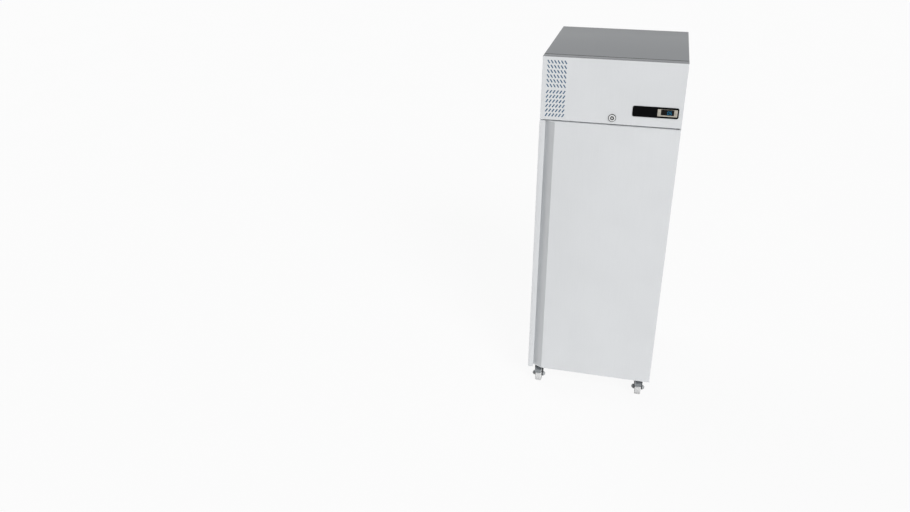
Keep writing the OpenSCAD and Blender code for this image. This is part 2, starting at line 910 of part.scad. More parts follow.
module lock_body() {
    y0 = y_fascia - lock_ring_t;
    nut_d = lock_body_d + 2 * lock_wall;
    color(steel) {
        difference() {
            union() {
                rod([lock_x, y0, lock_level], [lock_x, y_fascia, lock_level], lock_ring_d);
                rod([lock_x, y0, lock_level], [lock_x, y_cam - swing_gap, lock_level], lock_body_d);
            }
            rod(
                [lock_x, y0 - cut, lock_level],
                [lock_x, y_cam + cut, lock_level],
                lock_barrel_d + 2 * running
            );
        }
        difference() {
            rod(
                [lock_x, y_fascia + sheet_t, lock_level],
                [lock_x, y_fascia + sheet_t + lock_nut_t, lock_level],
                nut_d
            );
            rod([lock_x, y_fascia, lock_level], [lock_x, y_cam, lock_level], lock_body_d + 2 * press_gap);
        }
    }
}

module lock_barrel() {
    y0 = y_fascia - lock_ring_t - lock_barrel_proud;
    key_slot_w = 2;
    key_slot_h = 9;
    key_slot_d = 6;
    tail = lock_tail / 2;
    color(alu)
        translate([lock_x, 0, lock_level])
            difference() {
                union() {
                    rod([0, y0, 0], [0, y_cam, 0], lock_barrel_d);
                    block([-tail, y_cam - cut, -tail], [tail, y_cam + 2 * lock_cam_t, tail]);
                }
                block(
                    [-key_slot_w / 2, y0 - cut, -key_slot_h / 2],
                    [key_slot_w / 2, y0 + key_slot_d, key_slot_h / 2]
                );
            }
}

module lock_cam() {
    tip = lock_cam_w / 2;
    hole = lock_tail + 2 * press_gap;
    color(dark_steel)
        translate([lock_x, 0, lock_level])
            plate_xz(y_cam, y_cam + lock_cam_t)
                difference() {
                    union() {
                        circle(tip);
                        translate([0, -tip]) square([lock_cam_l - tip, lock_cam_w]);
                        translate([lock_cam_l - tip, 0]) circle(tip);
                    }
                    square(hole, center = true);
                }
}

// Hinges

module hinge_bracket(plate_z, flange_z) {
    tip = bracket_w / 2;
    x0 = hinge_x - tip;
    difference() {
        union() {
            plate_xy(plate_z, plate_z + bracket_t) {
                translate([hinge_x, hinge_y]) circle(tip);
                translate([x0, hinge_y]) square([bracket_w, y_body - hinge_y]);
                translate([bracket_x, y_body - bracket_t]) square([bracket_w, bracket_t]);
            }
            block(
                [bracket_x, y_body - bracket_t, flange_z],
                [bracket_x + bracket_w, y_body, flange_z + bracket_flange]
            );
        }
        rod(
            [hinge_x, hinge_y, plate_z - cut],
            [hinge_x, hinge_y, plate_z + bracket_t + cut],
            hinge_pin_d + 2 * press_gap
        );
        at_hinge_screws() {
            rod([0, -cut, 0], [0, screw_head_h, 0], screw_head_d + 2 * seat_gap);
            rod([0, 0, 0], [0, wall_t, 0], screw_d + 2 * seat_gap);
        }
    }
}

module hinge_brackets() {
    color(dark_steel) {
        hinge_bracket(bracket_top_z, bracket_top_z + bracket_t - bracket_flange);
        hinge_bracket(bracket_low_z, bracket_low_z);
    }
}

module hinge_pins() {
    top = bracket_top_z + bracket_t;
    color(alu) {
        rod([hinge_x, hinge_y, z_door_top - bush_l], [hinge_x, hinge_y, top], hinge_pin_d);
        rod([hinge_x, hinge_y, bracket_low_z], [hinge_x, hinge_y, z_door + bush_l], hinge_pin_d);
    }
}

module hinge_bushes() {
    color(pale_grey)
        difference() {
            union() {
                rod([hinge_x, hinge_y, z_door_top - bush_l], [hinge_x, hinge_y, z_door_top], bush_d);
                rod(
                    [hinge_x, hinge_y, z_door_top],
                    [hinge_x, hinge_y, bracket_top_z - swing_gap],
                    bush_flange_d
                );
                rod([hinge_x, hinge_y, z_door], [hinge_x, hinge_y, z_door + bush_l], bush_d);
                rod(
                    [hinge_x, hinge_y, bracket_low_z + bracket_t + swing_gap],
                    [hinge_x, hinge_y, z_door],
                    bush_flange_d
                );
            }
            rod([hinge_x, hinge_y, z_base], [hinge_x, hinge_y, z_fascia], hinge_pin_d + 2 * running);
        }
}

// Bores in the door for the hinge bushes
module bush_holes() {
    rod([hinge_x, hinge_y, z_door_top - bush_l], [hinge_x, hinge_y, z_fascia], bush_d + 2 * press_gap);
    rod([hinge_x, hinge_y, z_base], [hinge_x, hinge_y, z_door + bush_l], bush_d + 2 * press_gap);
}

// Pocket in the door's top that the lock cam drops into
module cam_pocket() {
    drop = lock_level - z_door_top;
    block(
        [lock_x - lock_cam_w / 2 - cut, y_cam - cut, lock_level - lock_cam_l - cut],
        [lock_x + cam_reach(drop) + cut, y_cam + lock_cam_t + cut, z_fascia]
    );
}

// Door

module door_skin() {
    color(steel)
        plate_xy(door_core_z0, door_core_z1) door_sheet(handle_last, len(door_path) - 1);
}

module door_handle() {
    color(steel)
        plate_xy(door_core_z0, door_core_z1) door_sheet(0, handle_last);
}

// Space under the raised field of the inner panel, larger or smaller by a margin
module field_block(y0, margin) {
    edge = gasket_inset + gasket_w + field_edge - margin;
    block(
        [-half_w + edge, y0, z_door + edge],
        [half_w - edge, y_door_back + field_rise + margin, z_door_top - edge]
    );
}

module door_insulation() {
    color(foam_yellow)
        difference() {
            union() {
                plate_xy(door_core_z0, door_core_z1) polygon(door_inside);
                field_block(y_field - cut, -sheet_t);
            }
            bush_holes();
            cam_pocket();
        }
}

module door_inner_panel() {
    color(steel)
        difference() {
            union() {
                block([-half_w, y_field, door_core_z0], [half_w, y_door_back, door_core_z1]);
                field_block(y_field, 0);
            }
            field_block(y_field - cut, -sheet_t);
        }
}

// One strip of the seal along the upper or right-hand side of a rectangle, mitred at its ends
module seal_strip(half_l, half_s) {
    outline = [
        [-half_l, half_s],
        [half_l, half_s],
        [half_l - gasket_w, half_s - gasket_w],
        [-half_l + gasket_w, half_s - gasket_w]
    ];
    polygon(outline);
}

module door_gasket() {
    half_x = half_w - gasket_inset;
    half_z = (z_door_top - z_door) / 2 - gasket_inset;
    color([0.35, 0.36, 0.37])
        translate([0, 0, (z_door + z_door_top) / 2])
            for (turn = [0, 180]) {
                plate_xz(y_door_back, y_body) rotate(turn) seal_strip(half_x, half_z);
                plate_xz(y_door_back, y_body) rotate(turn + 90) seal_strip(half_z, half_x);
            }
}

module door_end_caps() {
    back = [[half_w, y_door_back], [-half_w, y_door_back]];
    outline = concat([for (i = [1 : len(door_path) - 2]) door_path[i]], back);
    color(steel)
        difference() {
            union() {
                plate_xy(z_door, door_core_z0) polygon(outline);
                plate_xy(door_core_z1, z_door_top) polygon(outline);
            }
            bush_holes();
            cam_pocket();
        }
}

// Storage space

module shelf_posts() {
    color(steel)
        for (side = [-1, 1], y = post_y)
            difference() {
                block(
                    [side < 0 ? -cabin_x : post_x, y - post_w / 2, post_z0],
                    [side < 0 ? -post_x : cabin_x, y + post_w / 2, post_z1]
                );
                for (i = [0 : post_slots - 1])
                    block(
                        [-half_w, y - post_slot_w / 2, slot_level(i) - post_slot_h / 2],
                        [half_w, y + post_slot_w / 2, slot_level(i) + post_slot_h / 2]
                    );
            }
}

// Runner on the right-hand posts, with its hooks in their slots
module shelf_runner(level) {
    inner = shelf_w / 2 - runner_bearing;
    guide = shelf_w / 2 + shelf_clear;
    y0 = y_body + runner_front_gap;
    y1 = cabin_back - runner_back_gap;
    block([inner, y0, level - runner_t], [post_x, y1, level]);
    block([post_x - runner_t, y0, level - runner_t], [post_x, y1, level + runner_flange]);
    block([guide, y0, level - runner_t], [guide + runner_t, y1, level + runner_guide]);
    for (y = post_y)
        block(
            [post_x - runner_t, y - hook_w / 2, level + runner_drop - hook_h / 2],
            [post_x + post_t - loose, y + hook_w / 2, level + runner_drop + hook_h / 2]
        );
}

module shelf_runners() {
    color(steel)
        for (i = [0 : shelf_count - 1], side = [0, 1])
            mirror([side, 0, 0]) shelf_runner(runner_level(i));
}

module wire_shelf(level) {
    rod_x = (shelf_w - shelf_rod_d) / 2;
    y0 = shelf_front + shelf_rod_d / 2;
    y1 = shelf_front + shelf_d - shelf_rod_d / 2;
    pitch = 2 * rod_x / (shelf_wires + 1);
    brace_d = 6;
    corner = 1.1;
    translate([0, 0, level + seat_gap + shelf_rod_d * corner / 2]) {
        for (x = [-rod_x, rod_x]) rod([x, y0, 0], [x, y1, 0], shelf_rod_d);
        for (y = [y0, y1]) rod([-rod_x, y, 0], [rod_x, y, 0], shelf_rod_d);
        for (x = [-rod_x, rod_x], y = [y0, y1]) translate([x, y, 0]) sphere(d = corner * shelf_rod_d);
        for (i = [1 : shelf_wires]) {
            x = -rod_x + i * pitch;
            rod([x, y0, 0], [x, y1, 0], shelf_wire_d);
        }
        rod([-rod_x, (y0 + y1) / 2, 0], [rod_x, (y0 + y1) / 2, 0], brace_d);
    }
}

module wire_shelves() {
    color(alu)
        for (i = [0 : shelf_count - 1]) wire_shelf(runner_level(i));
}

// Evaporator

module evaporator_coil() {
    end_t = 3;
    x = coil_w / 2;
    color(alu) {
        fin_coil([-x, coil_y0, coil_z0], [x, coil_y0 + coil_d, coil_z1], fin_pitch);
        for (side = [-1, 1])
            block(
                [side < 0 ? -x : x - end_t, coil_y0, coil_z1 - cut],
                [side < 0 ? end_t - x : x, coil_y0 + coil_d, cabin_top]
            );
    }
}

module evaporator_cover() {
    x = evaporator_w / 2;
    hole_d = evaporator_fan_d + 2 * fan_tip_gap;
    rings = [0.35, 0.65];
    z1 = evap_z0 + evap_wall;
    color(pale_grey) {
        difference() {
            block([-x, evap_y0, evap_z0], [x, evap_y1, cabin_top]);
            block([-x + evap_wall, evap_y0 + evap_wall, z1], [x - evap_wall, evap_y1 + cut, cabin_top + cut]);
            translate([0, evap_fan_y, evap_z0 - cut]) cylinder(h = evap_wall + 2 * cut, d = hole_d);
        }
        for (share = rings)
            translate([0, evap_fan_y, evap_z0])
                difference() {
                    cylinder(h = evap_wall, d = share * hole_d + guard_bar);
                    translate([0, 0, -cut]) cylinder(h = evap_wall + 2 * cut, d = share * hole_d - guard_bar);
                }
        for (turn = [0, 90])
            translate([0, evap_fan_y, evap_z0])
                rotate([0, 0, turn])
                    block(
                        [-hole_d / 2 - cut, -guard_bar / 2, 0],
                        [hole_d / 2 + cut, guard_bar / 2, evap_wall]
                    );
    }
}

module evaporator_fan_motor() {
    strap_w = 20;
    strap_t = 3;
    strap_gap = 12;
    reach = evaporator_fan_d / 2 + strap_gap;
    motor_top = evap_motor_z + evap_motor_l;
    color(plastic_black)
        translate([0, evap_fan_y, 0]) {
            rod([0, 0, evap_motor_z], [0, 0, motor_top], evap_motor_d);
            rod([0, 0, evap_fan_z], [0, 0, evap_motor_z + cut], fan_shaft_d);
            block([-reach, -strap_w / 2, motor_top - strap_t], [reach, strap_w / 2, motor_top]);
            for (x = [-reach, reach - strap_t])
                block([x, -strap_w / 2, motor_top - strap_t], [x + strap_t, strap_w / 2, cabin_top]);
        }
}

module evaporator_fan() {
    hub_d = 46;
    color([0.2, 0.2, 0.21])
        translate([0, evap_fan_y, evap_fan_z])
            fan_wheel(evaporator_fan_d, hub_d, evap_fan_l, fan_shaft_d + 2 * running, fan_blades);
}

module drip_pan() {
    side_gap = 12;
    front_gap = 10;
    x = coil_w / 2 + side_gap;
    y0 = coil_y0 - front_gap;
    y1 = drain_route[0].y;
    color(pale_grey)
        difference() {
            block([-x, y0, pan_z0], [x, y1, pan_z0 + pan_h]);
            block(
                [-x + pan_wall, y0 + pan_wall, pan_z0 + pan_wall],
                [x - pan_wall, y1 - pan_wall, pan_z0 + pan_h + cut]
            );
            rod([0, y1 - 3 * pan_wall, drain_z], [0, y1 + cut, drain_z], drain_d - 2 * drain_wall);
        }
}

module drain_pipe() {
    bore = drain_d - 2 * drain_wall;
    far = [0, cut, 0];
    color(pale_grey)
        difference() {
            pipe_run(drain_route, drain_d, 1);
            pipe_run([drain_route[0] - far, drain_route[1], drain_route[2] - [0, 0, cut]], bore, 1);
        }
}

// Condensing unit

module compressor() {
    r = compressor_d / 2;
    shoulder = 20;
    dome = 40;
    outline = [
        [0, 0],
        [r - shoulder, 0],
        [r, shoulder],
        [r, compressor_h - dome],
        [r - 0.25 * dome, compressor_h - 0.4 * dome],
        [r - 0.9 * dome, compressor_h - 0.08 * dome],
        [0, compressor_h]
    ];
    color(plastic_black)
        translate([compressor_x, compressor_y, compressor_z0]) {
            rotate_extrude() polygon(outline);
            plate_xy(-compressor_plate_t, 0)
                square([compressor_plate_x, compressor_plate_y], center = true);
        }
}

module compressor_feet() {
    x = (compressor_plate_x - compressor_foot_d) / 2;
    y = (compressor_plate_y - compressor_foot_d) / 2;
    color([0.15, 0.15, 0.15])
        for (side = [-x, x], end = [-y, y])
            translate([compressor_x + side, compressor_y + end, z_deck])
                cylinder(h = compressor_foot_h, d = compressor_foot_d);
}

module condenser_coil() {
    color(alu)
        fin_coil(
            [condenser_x0, condenser_y0, z_deck],
            [condenser_x1, condenser_y1, z_deck + condenser_h],
            fin_pitch
        );
}

module condenser_shroud() {
    hole_d = condenser_fan_d + 2 * fan_tip_gap;
    color(dark_steel)
        difference() {
            union() {
                block(
                    [condenser_x0, condenser_y1, z_deck],
                    [condenser_x1, condenser_y1 + shroud_t, z_deck + condenser_h]
                );
                rod(
                    [fan_mid_x, condenser_y1, fan_mid_z],
                    [fan_mid_x, y_ring_back, fan_mid_z],
                    hole_d + 2 * shroud_ring_t
                );
            }
            rod(
                [fan_mid_x, condenser_y1 - cut, fan_mid_z],
                [fan_mid_x, y_ring_back + cut, fan_mid_z],
                hole_d
            );
        }
}

module condenser_fan_motor() {
    reach = condenser_fan_d / 2 + fan_tip_gap + shroud_ring_t;
    y1 = y_ring_back + motor_arm_t;
    color(plastic_black)
        translate([fan_mid_x, 0, fan_mid_z]) {
            rod([0, y_ring_back, 0], [0, y_ring_back + motor_l, 0], motor_d);
            rod([0, y_fan, 0], [0, y_ring_back + cut, 0], fan_shaft_d);
            for (turn = [45, 135])
                rotate([0, turn, 0])
                    block([-reach, y_ring_back, -motor_arm_w / 2], [reach, y1, motor_arm_w / 2]);
        }
}

module condenser_fan() {
    color([0.2, 0.2, 0.21])
        translate([fan_mid_x, y_fan, fan_mid_z])
            rotate([-90, 0, 0])
                fan_wheel(condenser_fan_d, fan_hub_d, fan_hub_l, fan_shaft_d + 2 * running, fan_blades);
}

module filter_drier() {
    color(copper)
        rod([liquid_x, drier_y, liquid_z], [liquid_x, drier_y + drier_l, liquid_z], drier_d);
}

module refrigerant_pipes() {
    color(copper) {
        pipe_run(
            [
                [port_x, compressor_y, discharge_port_z],
                [discharge_x, compressor_y, discharge_port_z],
                [discharge_x, compressor_y, discharge_z],
                [discharge_x, pipe_y, discharge_z],
                [condenser_x1, pipe_y, discharge_z]
            ],
            pipe_d
        );
        pipe_run(
            [
                [suction_x, riser_y, coil_z1],
                [suction_x, riser_y, suction_port_z],
                [suction_x, compressor_y, suction_port_z],
                [port_x, compressor_y, suction_port_z]
            ],
            pipe_d
        );
        pipe_run(
            [
                [condenser_x1, pipe_y, liquid_z],
                [liquid_x, pipe_y, liquid_z],
                [liquid_x, drier_y, liquid_z]
            ],
            liquid_pipe_d
        );
        pipe_run(
            [
                [liquid_x, drier_y + drier_l, liquid_z],
                [liquid_x, riser_y, liquid_z],
                [liquid_x, riser_y, coil_z1]
            ],
            liquid_pipe_d
        );
    }
}

module electrical_box() {
    side_gap = 20;
    front_gap = 16;
    x1 = skin_x - side_gap;
    y0 = y_body + front_gap;
    lid_t = 2;
    lid_lap = 3;
    color([0.45, 0.46, 0.48]) {
        block([x1 - box_w, y0, z_deck], [x1, y0 + box_d, z_deck + box_h]);
        block(
            [x1 - box_w - lid_lap, y0 - lid_lap, z_deck + box_h + seat_gap],
            [x1 + lid_lap, y0 + box_d + lid_lap, z_deck + box_h + seat_gap + lid_t]
        );
    }
}

module mains_gland() {
    y_nut = y_grille - gland_nut_t;
    y_flange = y_grille + sheet_t;
    y_neck = y_flange + gland_flange_t;
    color(plastic_black)
        translate([gland_x, 0, gland_z])
            difference() {
                union() {
                    rod([0, y_nut, 0], [0, y_grille, 0], gland_flange_d);
                    rod([0, y_flange, 0], [0, y_neck, 0], gland_flange_d);
                    rod([0, y_nut, 0], [0, y_neck + gland_neck_l, 0], gland_shank_d);
                }
                rod([0, y_nut - cut, 0], [0, y_back, 0], gland_bore_d);
            }
}

module panel_screws() {
    color(alu) {
        at_hinge_screws() screw(bracket_t + frame_t);
        at_grille_screws() translate([0, -screw_head_h, 0]) screw(screw_head_h + screw_grip);
    }
}

// Castors

module castor_plates() {
    half = castor_plate_w / 2;
    under = castor_h - castor_plate_t;
    pin_end = crown_z0 - swivel_gap - kingpin_nut_h;
    color(alu)
        difference() {
            for (corner = CORNERS)
                translate(corner) {
                    block([-half, -half, under], [half, half, castor_h]);
                    rod([0, 0, under - castor_cup_h], [0, 0, under + cut], swivel_d);
                    rod([0, 0, pin_end], [0, 0, under], kingpin_d);
                    rod([0, 0, pin_end], [0, 0, pin_end + kingpin_nut_h], kingpin_nut_d);
                }
            at_castor_bolts() translate([0, 0, -cut]) cylinder(h = wall_t, d = bolt_d + 2 * loose);
        }
}

module castor_bolts() {
    color(alu)
        at_castor_bolts() {
            translate([0, 0, -bolt_head_h]) cylinder(h = bolt_head_h, d = bolt_head_d, $fn = 6);
            cylinder(h = castor_plate_t + sheet_t, d = bolt_d);
        }
}

// Outline of one fork leg, in Y and Z
module fork_leg_outline() {
    boss_wall = 9;
    boss = axle_d / 2 + boss_wall;
    top = crown_z1 - crown_h / 3;
    front = -castor_trail - boss_wall;
    back_inset = 13;
    back = swivel_d / 2 - back_inset;
    back_drop = 6;
    difference() {
        union() {
            polygon([
                [front, top],
                [back, top],
                [back, crown_z0 - back_drop],
                [-castor_trail + 0.8 * boss, axle_z - 0.6 * boss],
                [-castor_trail - 0.99 * boss, axle_z + 0.14 * boss]
            ]);
            translate([-castor_trail, axle_z]) circle(boss);
        }
        translate([-castor_trail, axle_z]) circle(d = axle_d + 2 * press_gap);
    }
}

module castor_fork(corner, braked) {
    gap = fork_gap / 2;
    neck = 0.6;
    color([0.3, 0.31, 0.32])
        translate(corner) {
            difference() {
                rod([0, 0, crown_z0], [0, 0, crown_z1], swivel_d);
                rod([0, 0, crown_z0 - cut], [0, 0, crown_z1 + cut], kingpin_d + 2 * running);
            }
            for (x = [-fork_out, gap]) plate_yz(x, x + fork_leg_t) fork_leg_outline();
            if (braked) rod([-fork_out, -brake_y, brake_z], [fork_out, -brake_y, brake_z], brake_pin_d);
            rod([-fork_out, -castor_trail, axle_z], [fork_out, -castor_trail, axle_z], axle_d);
            for (side = [-1, 1]) {
                mid = side * (fork_out + neck * axle_cap_l);
                rod([side * fork_out, -castor_trail, axle_z], [mid, -castor_trail, axle_z], axle_cap_d);
                rod(
                    [mid, -castor_trail, axle_z],
                    [side * (fork_out + axle_cap_l), -castor_trail, axle_z],
                    neck * axle_cap_d
                );
            }
        }
}

module castor_fork_front_left() {
    castor_fork(FRONT_LEFT, true);
}

module castor_fork_front_right() {
    castor_fork(FRONT_RIGHT, true);
}

module castor_fork_rear_left() {
    castor_fork(REAR_LEFT, false);
}

module castor_fork_rear_right() {
    castor_fork(REAR_RIGHT, false);
}

module castor_wheel(corner) {
    r = wheel_d / 2;
    half = wheel_w / 2;
    edge = 5;
    rim = 12;
    dish = 5;
    slope = 2;
    hub_wall = 6;
    hub_proud = 1;
    hub = axle_d / 2 + hub_wall;
    bore = axle_d / 2 + running;
    side = [
        [bore, half + hub_proud],
        [hub, half + hub_proud],
        [hub + slope, half - dish],
        [r - rim - slope, half - dish],
        [r - rim, half],
        [r - edge, half],
        [r - 0.3 * edge, half - 0.3 * edge],
        [r, half - edge]
    ];
    outline = concat(side, [for (i = [len(side) - 1 : -1 : 0]) [side[i].x, -side[i].y]]);
    color(pale_grey)
        translate(corner + [0, -castor_trail, axle_z])
            rotate([0, 90, 0]) rotate_extrude() polygon(outline);
}

module castor_wheel_front_left() {
    castor_wheel(FRONT_LEFT);
}

module castor_wheel_front_right() {
    castor_wheel(FRONT_RIGHT);
}

module castor_wheel_rear_left() {
    castor_wheel(REAR_LEFT);
}

module castor_wheel_rear_right() {
    castor_wheel(REAR_RIGHT);
}

// Pedal on a pin across the fork, with a shoe over the tread and a lip in front of the wheel
module brake_pedal(corner) {
    half = fork_gap / 2 - 2 * swing_gap;
    pedal_t = 4;
    pedal_z0 = brake_z + 1;
    pedal_z1 = pedal_z0 + pedal_t;
    lip_t = 3;
    lip_r = 8;
    lip_drop = 23;
    lip_gap = 8;
    lip_reach = wheel_d / 2 - brake_ahead + lip_gap;
    shoe_reach = 10;
    shoe_t = 6;
    shoe_drop = 7.5;
    shoe_side = 5;
    shoe_x = half - shoe_side;
    shoe_z = brake_z - shoe_drop;
    lip_y = -brake_y - lip_reach;
    shoe_y = -brake_y - shoe_reach;
    color([0.55, 0.56, 0.57])
        translate(corner)
            difference() {
                union() {
                    rod([-half, -brake_y, brake_z], [half, -brake_y, brake_z], brake_hub_d);
                    block([-half, lip_y, pedal_z0], [half, -brake_y, pedal_z1]);
                    plate_xz(lip_y - lip_t, lip_y)
                        round_rect([-half, pedal_z1 - lip_drop], [half, pedal_z1], lip_r);
                    block([-shoe_x, shoe_y - shoe_t, shoe_z], [shoe_x, shoe_y, pedal_z0 + cut]);
                }
                rod(
                    [-fork_out, -brake_y, brake_z],
                    [fork_out, -brake_y, brake_z],
                    brake_pin_d + 2 * running
                );
            }
}

module brake_pedal_front_left() {
    brake_pedal(FRONT_LEFT);
}

module brake_pedal_front_right() {
    brake_pedal(FRONT_RIGHT);
}

side_panels();
back_panel();
base_panel();
machine_deck();
top_panels();
body_insulation();
inner_liner();
door_frame();
fascia_panel();
air_filter();
rear_grille();
controller_bezel();
controller_housing();
controller_display();
key_left();
key_right();
lock_body();
lock_barrel();
lock_cam();
hinge_brackets();
hinge_pins();
hinge_bushes();
door_skin();
door_handle();
door_insulation();
door_inner_panel();
door_gasket();
door_end_caps();
shelf_posts();
shelf_runners();
wire_shelves();
evaporator_coil();
evaporator_cover();
evaporator_fan_motor();
evaporator_fan();
drip_pan();
drain_pipe();
compressor();
compressor_feet();
condenser_coil();
condenser_shroud();
condenser_fan_motor();
condenser_fan();
filter_drier();
refrigerant_pipes();
electrical_box();
mains_gland();
panel_screws();
castor_plates();
castor_bolts();
castor_fork_front_left();
castor_fork_front_right();
castor_fork_rear_left();
castor_fork_rear_right();
castor_wheel_front_left();
castor_wheel_front_right();
castor_wheel_rear_left();
castor_wheel_rear_right();
brake_pedal_front_left();
brake_pedal_front_right();
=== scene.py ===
"""Looks of an upright kitchen refrigerator with one steel door, on castors. Metres, in the CAD frame."""

import json
import math

import bmesh
import bpy
from mathutils import Matrix, Vector


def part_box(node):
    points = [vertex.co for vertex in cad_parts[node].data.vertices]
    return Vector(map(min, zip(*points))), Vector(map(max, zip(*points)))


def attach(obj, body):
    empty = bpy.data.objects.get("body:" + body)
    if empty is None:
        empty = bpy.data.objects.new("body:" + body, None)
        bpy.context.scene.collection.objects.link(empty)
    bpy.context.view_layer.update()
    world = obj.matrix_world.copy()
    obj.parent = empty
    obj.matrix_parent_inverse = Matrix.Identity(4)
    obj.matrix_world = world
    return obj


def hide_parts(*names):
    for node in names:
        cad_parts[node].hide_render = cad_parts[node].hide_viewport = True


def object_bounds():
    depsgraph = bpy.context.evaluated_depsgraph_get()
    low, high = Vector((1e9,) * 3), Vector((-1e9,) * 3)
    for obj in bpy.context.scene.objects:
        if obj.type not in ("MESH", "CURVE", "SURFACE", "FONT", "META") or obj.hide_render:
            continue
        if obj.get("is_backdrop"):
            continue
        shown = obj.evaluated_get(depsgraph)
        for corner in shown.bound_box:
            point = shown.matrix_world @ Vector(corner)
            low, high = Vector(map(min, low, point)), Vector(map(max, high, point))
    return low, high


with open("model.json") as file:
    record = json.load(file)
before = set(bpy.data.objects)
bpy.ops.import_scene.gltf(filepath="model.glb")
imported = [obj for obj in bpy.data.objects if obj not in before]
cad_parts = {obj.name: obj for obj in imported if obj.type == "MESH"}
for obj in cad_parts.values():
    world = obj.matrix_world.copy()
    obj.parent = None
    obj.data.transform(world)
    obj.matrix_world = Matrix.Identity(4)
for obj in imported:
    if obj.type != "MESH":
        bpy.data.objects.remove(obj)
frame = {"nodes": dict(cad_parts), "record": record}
cad_low, cad_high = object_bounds()

MM = 0.001
BODY_OF = {node: body for body, nodes in frame["record"]["behaviour"]["bodies"].items() for node in nodes}
CORNERS = ["front_left", "front_right", "rear_left", "rear_right"]
FORKS = ["castor_fork_" + corner for corner in CORNERS]
WHEELS = ["castor_wheel_" + corner for corner in CORNERS]
PEDALS = ["brake_pedal_" + corner for corner in CORNERS[:2]]


# Small helpers


def srgb(colour):
    """Linear colour of an sRGB hex value."""
    parts = [int(colour[i : i + 2], 16) / 255 for i in (1, 3, 5)]
    return (*[c / 12.92 if c <= 0.04045 else ((c + 0.055) / 1.055) ** 2.4 for c in parts], 1.0)


def add(tree, kind, inputs=None, stops=(), **settings):
    """Adds a node with its settings and colour stops. An input is a value, a socket, or a list of sockets."""
    made = tree.nodes.new(kind)
    for name, value in settings.items():
        setattr(made, name, value)
    for stop, (place, colour) in zip(made.color_ramp.elements if stops else (), stops):
        stop.position = place
        stop.color = srgb(colour)
    for key, value in (inputs or {}).items():
        links = value if isinstance(value, list) else [value]
        if isinstance(links[0], bpy.types.NodeSocket):
            for link in links:
                tree.links.new(link, made.inputs[key])
        else:
            made.inputs[key].default_value = value
    return made


def start_material(name):
    """An empty material, its tree and its Object coordinates."""
    material = bpy.data.materials.new(name)
    material.use_nodes = True
    tree = material.node_tree
    tree.nodes.clear()
    return material, tree, add(tree, "ShaderNodeTexCoord").outputs["Object"]


def grain_finish(name, colours, roughness, grain_mm, bump_mm, cloud_mm=120, metallic=0.0, **constants):
    """Finish with a grain of a real size in its colour, gloss and relief, and soft clouds in the first two."""
    material, tree, place = start_material(name)
    stretched = add(
        tree, "ShaderNodeMapping", {"Vector": place, "Scale": tuple(1 / (g * MM) for g in grain_mm)}
    ).outputs["Vector"]
    grain = add(tree, "ShaderNodeTexNoise", {"Vector": stretched, "Scale": 1.0, "Detail": 3.0}).outputs["Fac"]
    cloud = add(
        tree, "ShaderNodeTexNoise", {"Vector": place, "Scale": 1 / (cloud_mm * MM), "Detail": 2.0}
    ).outputs["Fac"]
    both = add(tree, "ShaderNodeMix", {"Factor": 0.5, "A": grain, "B": cloud}).outputs["Result"]
    shade = add(
        tree, "ShaderNodeValToRGB", {"Fac": both}, stops=zip((0.38, 0.62), colours)
    ).outputs["Color"]
    rough = add(
        tree,
        "ShaderNodeMapRange",
        {"Value": both, "From Min": 0.38, "From Max": 0.62, "To Min": roughness[0], "To Max": roughness[1]},
    ).outputs["Result"]
    relief = add(tree, "ShaderNodeBump", {"Height": grain, "Distance": bump_mm * MM, "Strength": 1.0})
    shader = add(
        tree,
        "ShaderNodeBsdfPrincipled",
        {
            "Base Color": shade,
            "Roughness": rough,
            "Normal": relief.outputs["Normal"],
            "Metallic": metallic,
            **{key.replace("_", " "): value for key, value in constants.items()},
        },
    )
    add(tree, "ShaderNodeOutputMaterial", {"Surface": shader.outputs["BSDF"]})
    return material


def weave_finish(name, dark, light, pitch_mm, roughness):
    """Open weave of round strands, with the pitch of the strands in millimetres."""
    material, tree, place = start_material(name)
    strands = []
    for direction in ("X", "Z"):
        wave = add(
            tree,
            "ShaderNodeTexWave",
            {"Vector": place, "Scale": math.pi / 10 / (pitch_mm * MM), "Distortion": 0.4, "Detail": 1.0},
            bands_direction=direction,
            wave_profile="SIN",
        )
        strands.append(wave.outputs["Fac"])
    net = add(tree, "ShaderNodeMath", {0: strands[0], 1: strands[1]}, operation="MAXIMUM").outputs["Value"]
    shade = add(tree, "ShaderNodeValToRGB", {"Fac": net}, stops=((0.2, dark), (0.9, light)))
    relief = add(tree, "ShaderNodeBump", {"Height": net, "Distance": 0.4 * MM, "Strength": 1.0})
    shader = add(
        tree,
        "ShaderNodeBsdfPrincipled",
        {
            "Base Color": shade.outputs["Color"],
            "Roughness": roughness,
            "Normal": relief.outputs["Normal"],
        },
    )
    add(tree, "ShaderNodeOutputMaterial", {"Surface": shader.outputs["BSDF"]})
    return material


def cell_finish(name, dark, light, cell_mm, roughness, bump_mm, metallic=0.0):
    """Cells of a real size, as in zinc spangle or foam."""
    material, tree, place = start_material(name)
    cells = add(tree, "ShaderNodeTexVoronoi", {"Vector": place, "Scale": 1 / (cell_mm * MM)})
    pick = add(tree, "ShaderNodeSeparateColor", {"Color": cells.outputs["Color"]}).outputs["Red"]
    shade = add(tree, "ShaderNodeValToRGB", {"Fac": pick}, stops=((0.0, dark), (1.0, light)))
    relief = add(
        tree,
        "ShaderNodeBump",
        {"Height": cells.outputs["Distance"], "Distance": bump_mm * MM, "Strength": 1.0},
    )
    rough = add(
        tree,
        "ShaderNodeMapRange",
        {"Value": pick, "To Min": roughness[0], "To Max": roughness[1]},
    ).outputs["Result"]
    shader = add(
        tree,
        "ShaderNodeBsdfPrincipled",
        {
            "Base Color": shade.outputs["Color"],
            "Roughness": rough,
            "Normal": relief.outputs["Normal"],
            "Metallic": metallic,
        },
    )
    add(tree, "ShaderNodeOutputMaterial", {"Surface": shader.outputs["BSDF"]})
    return material


# Materials

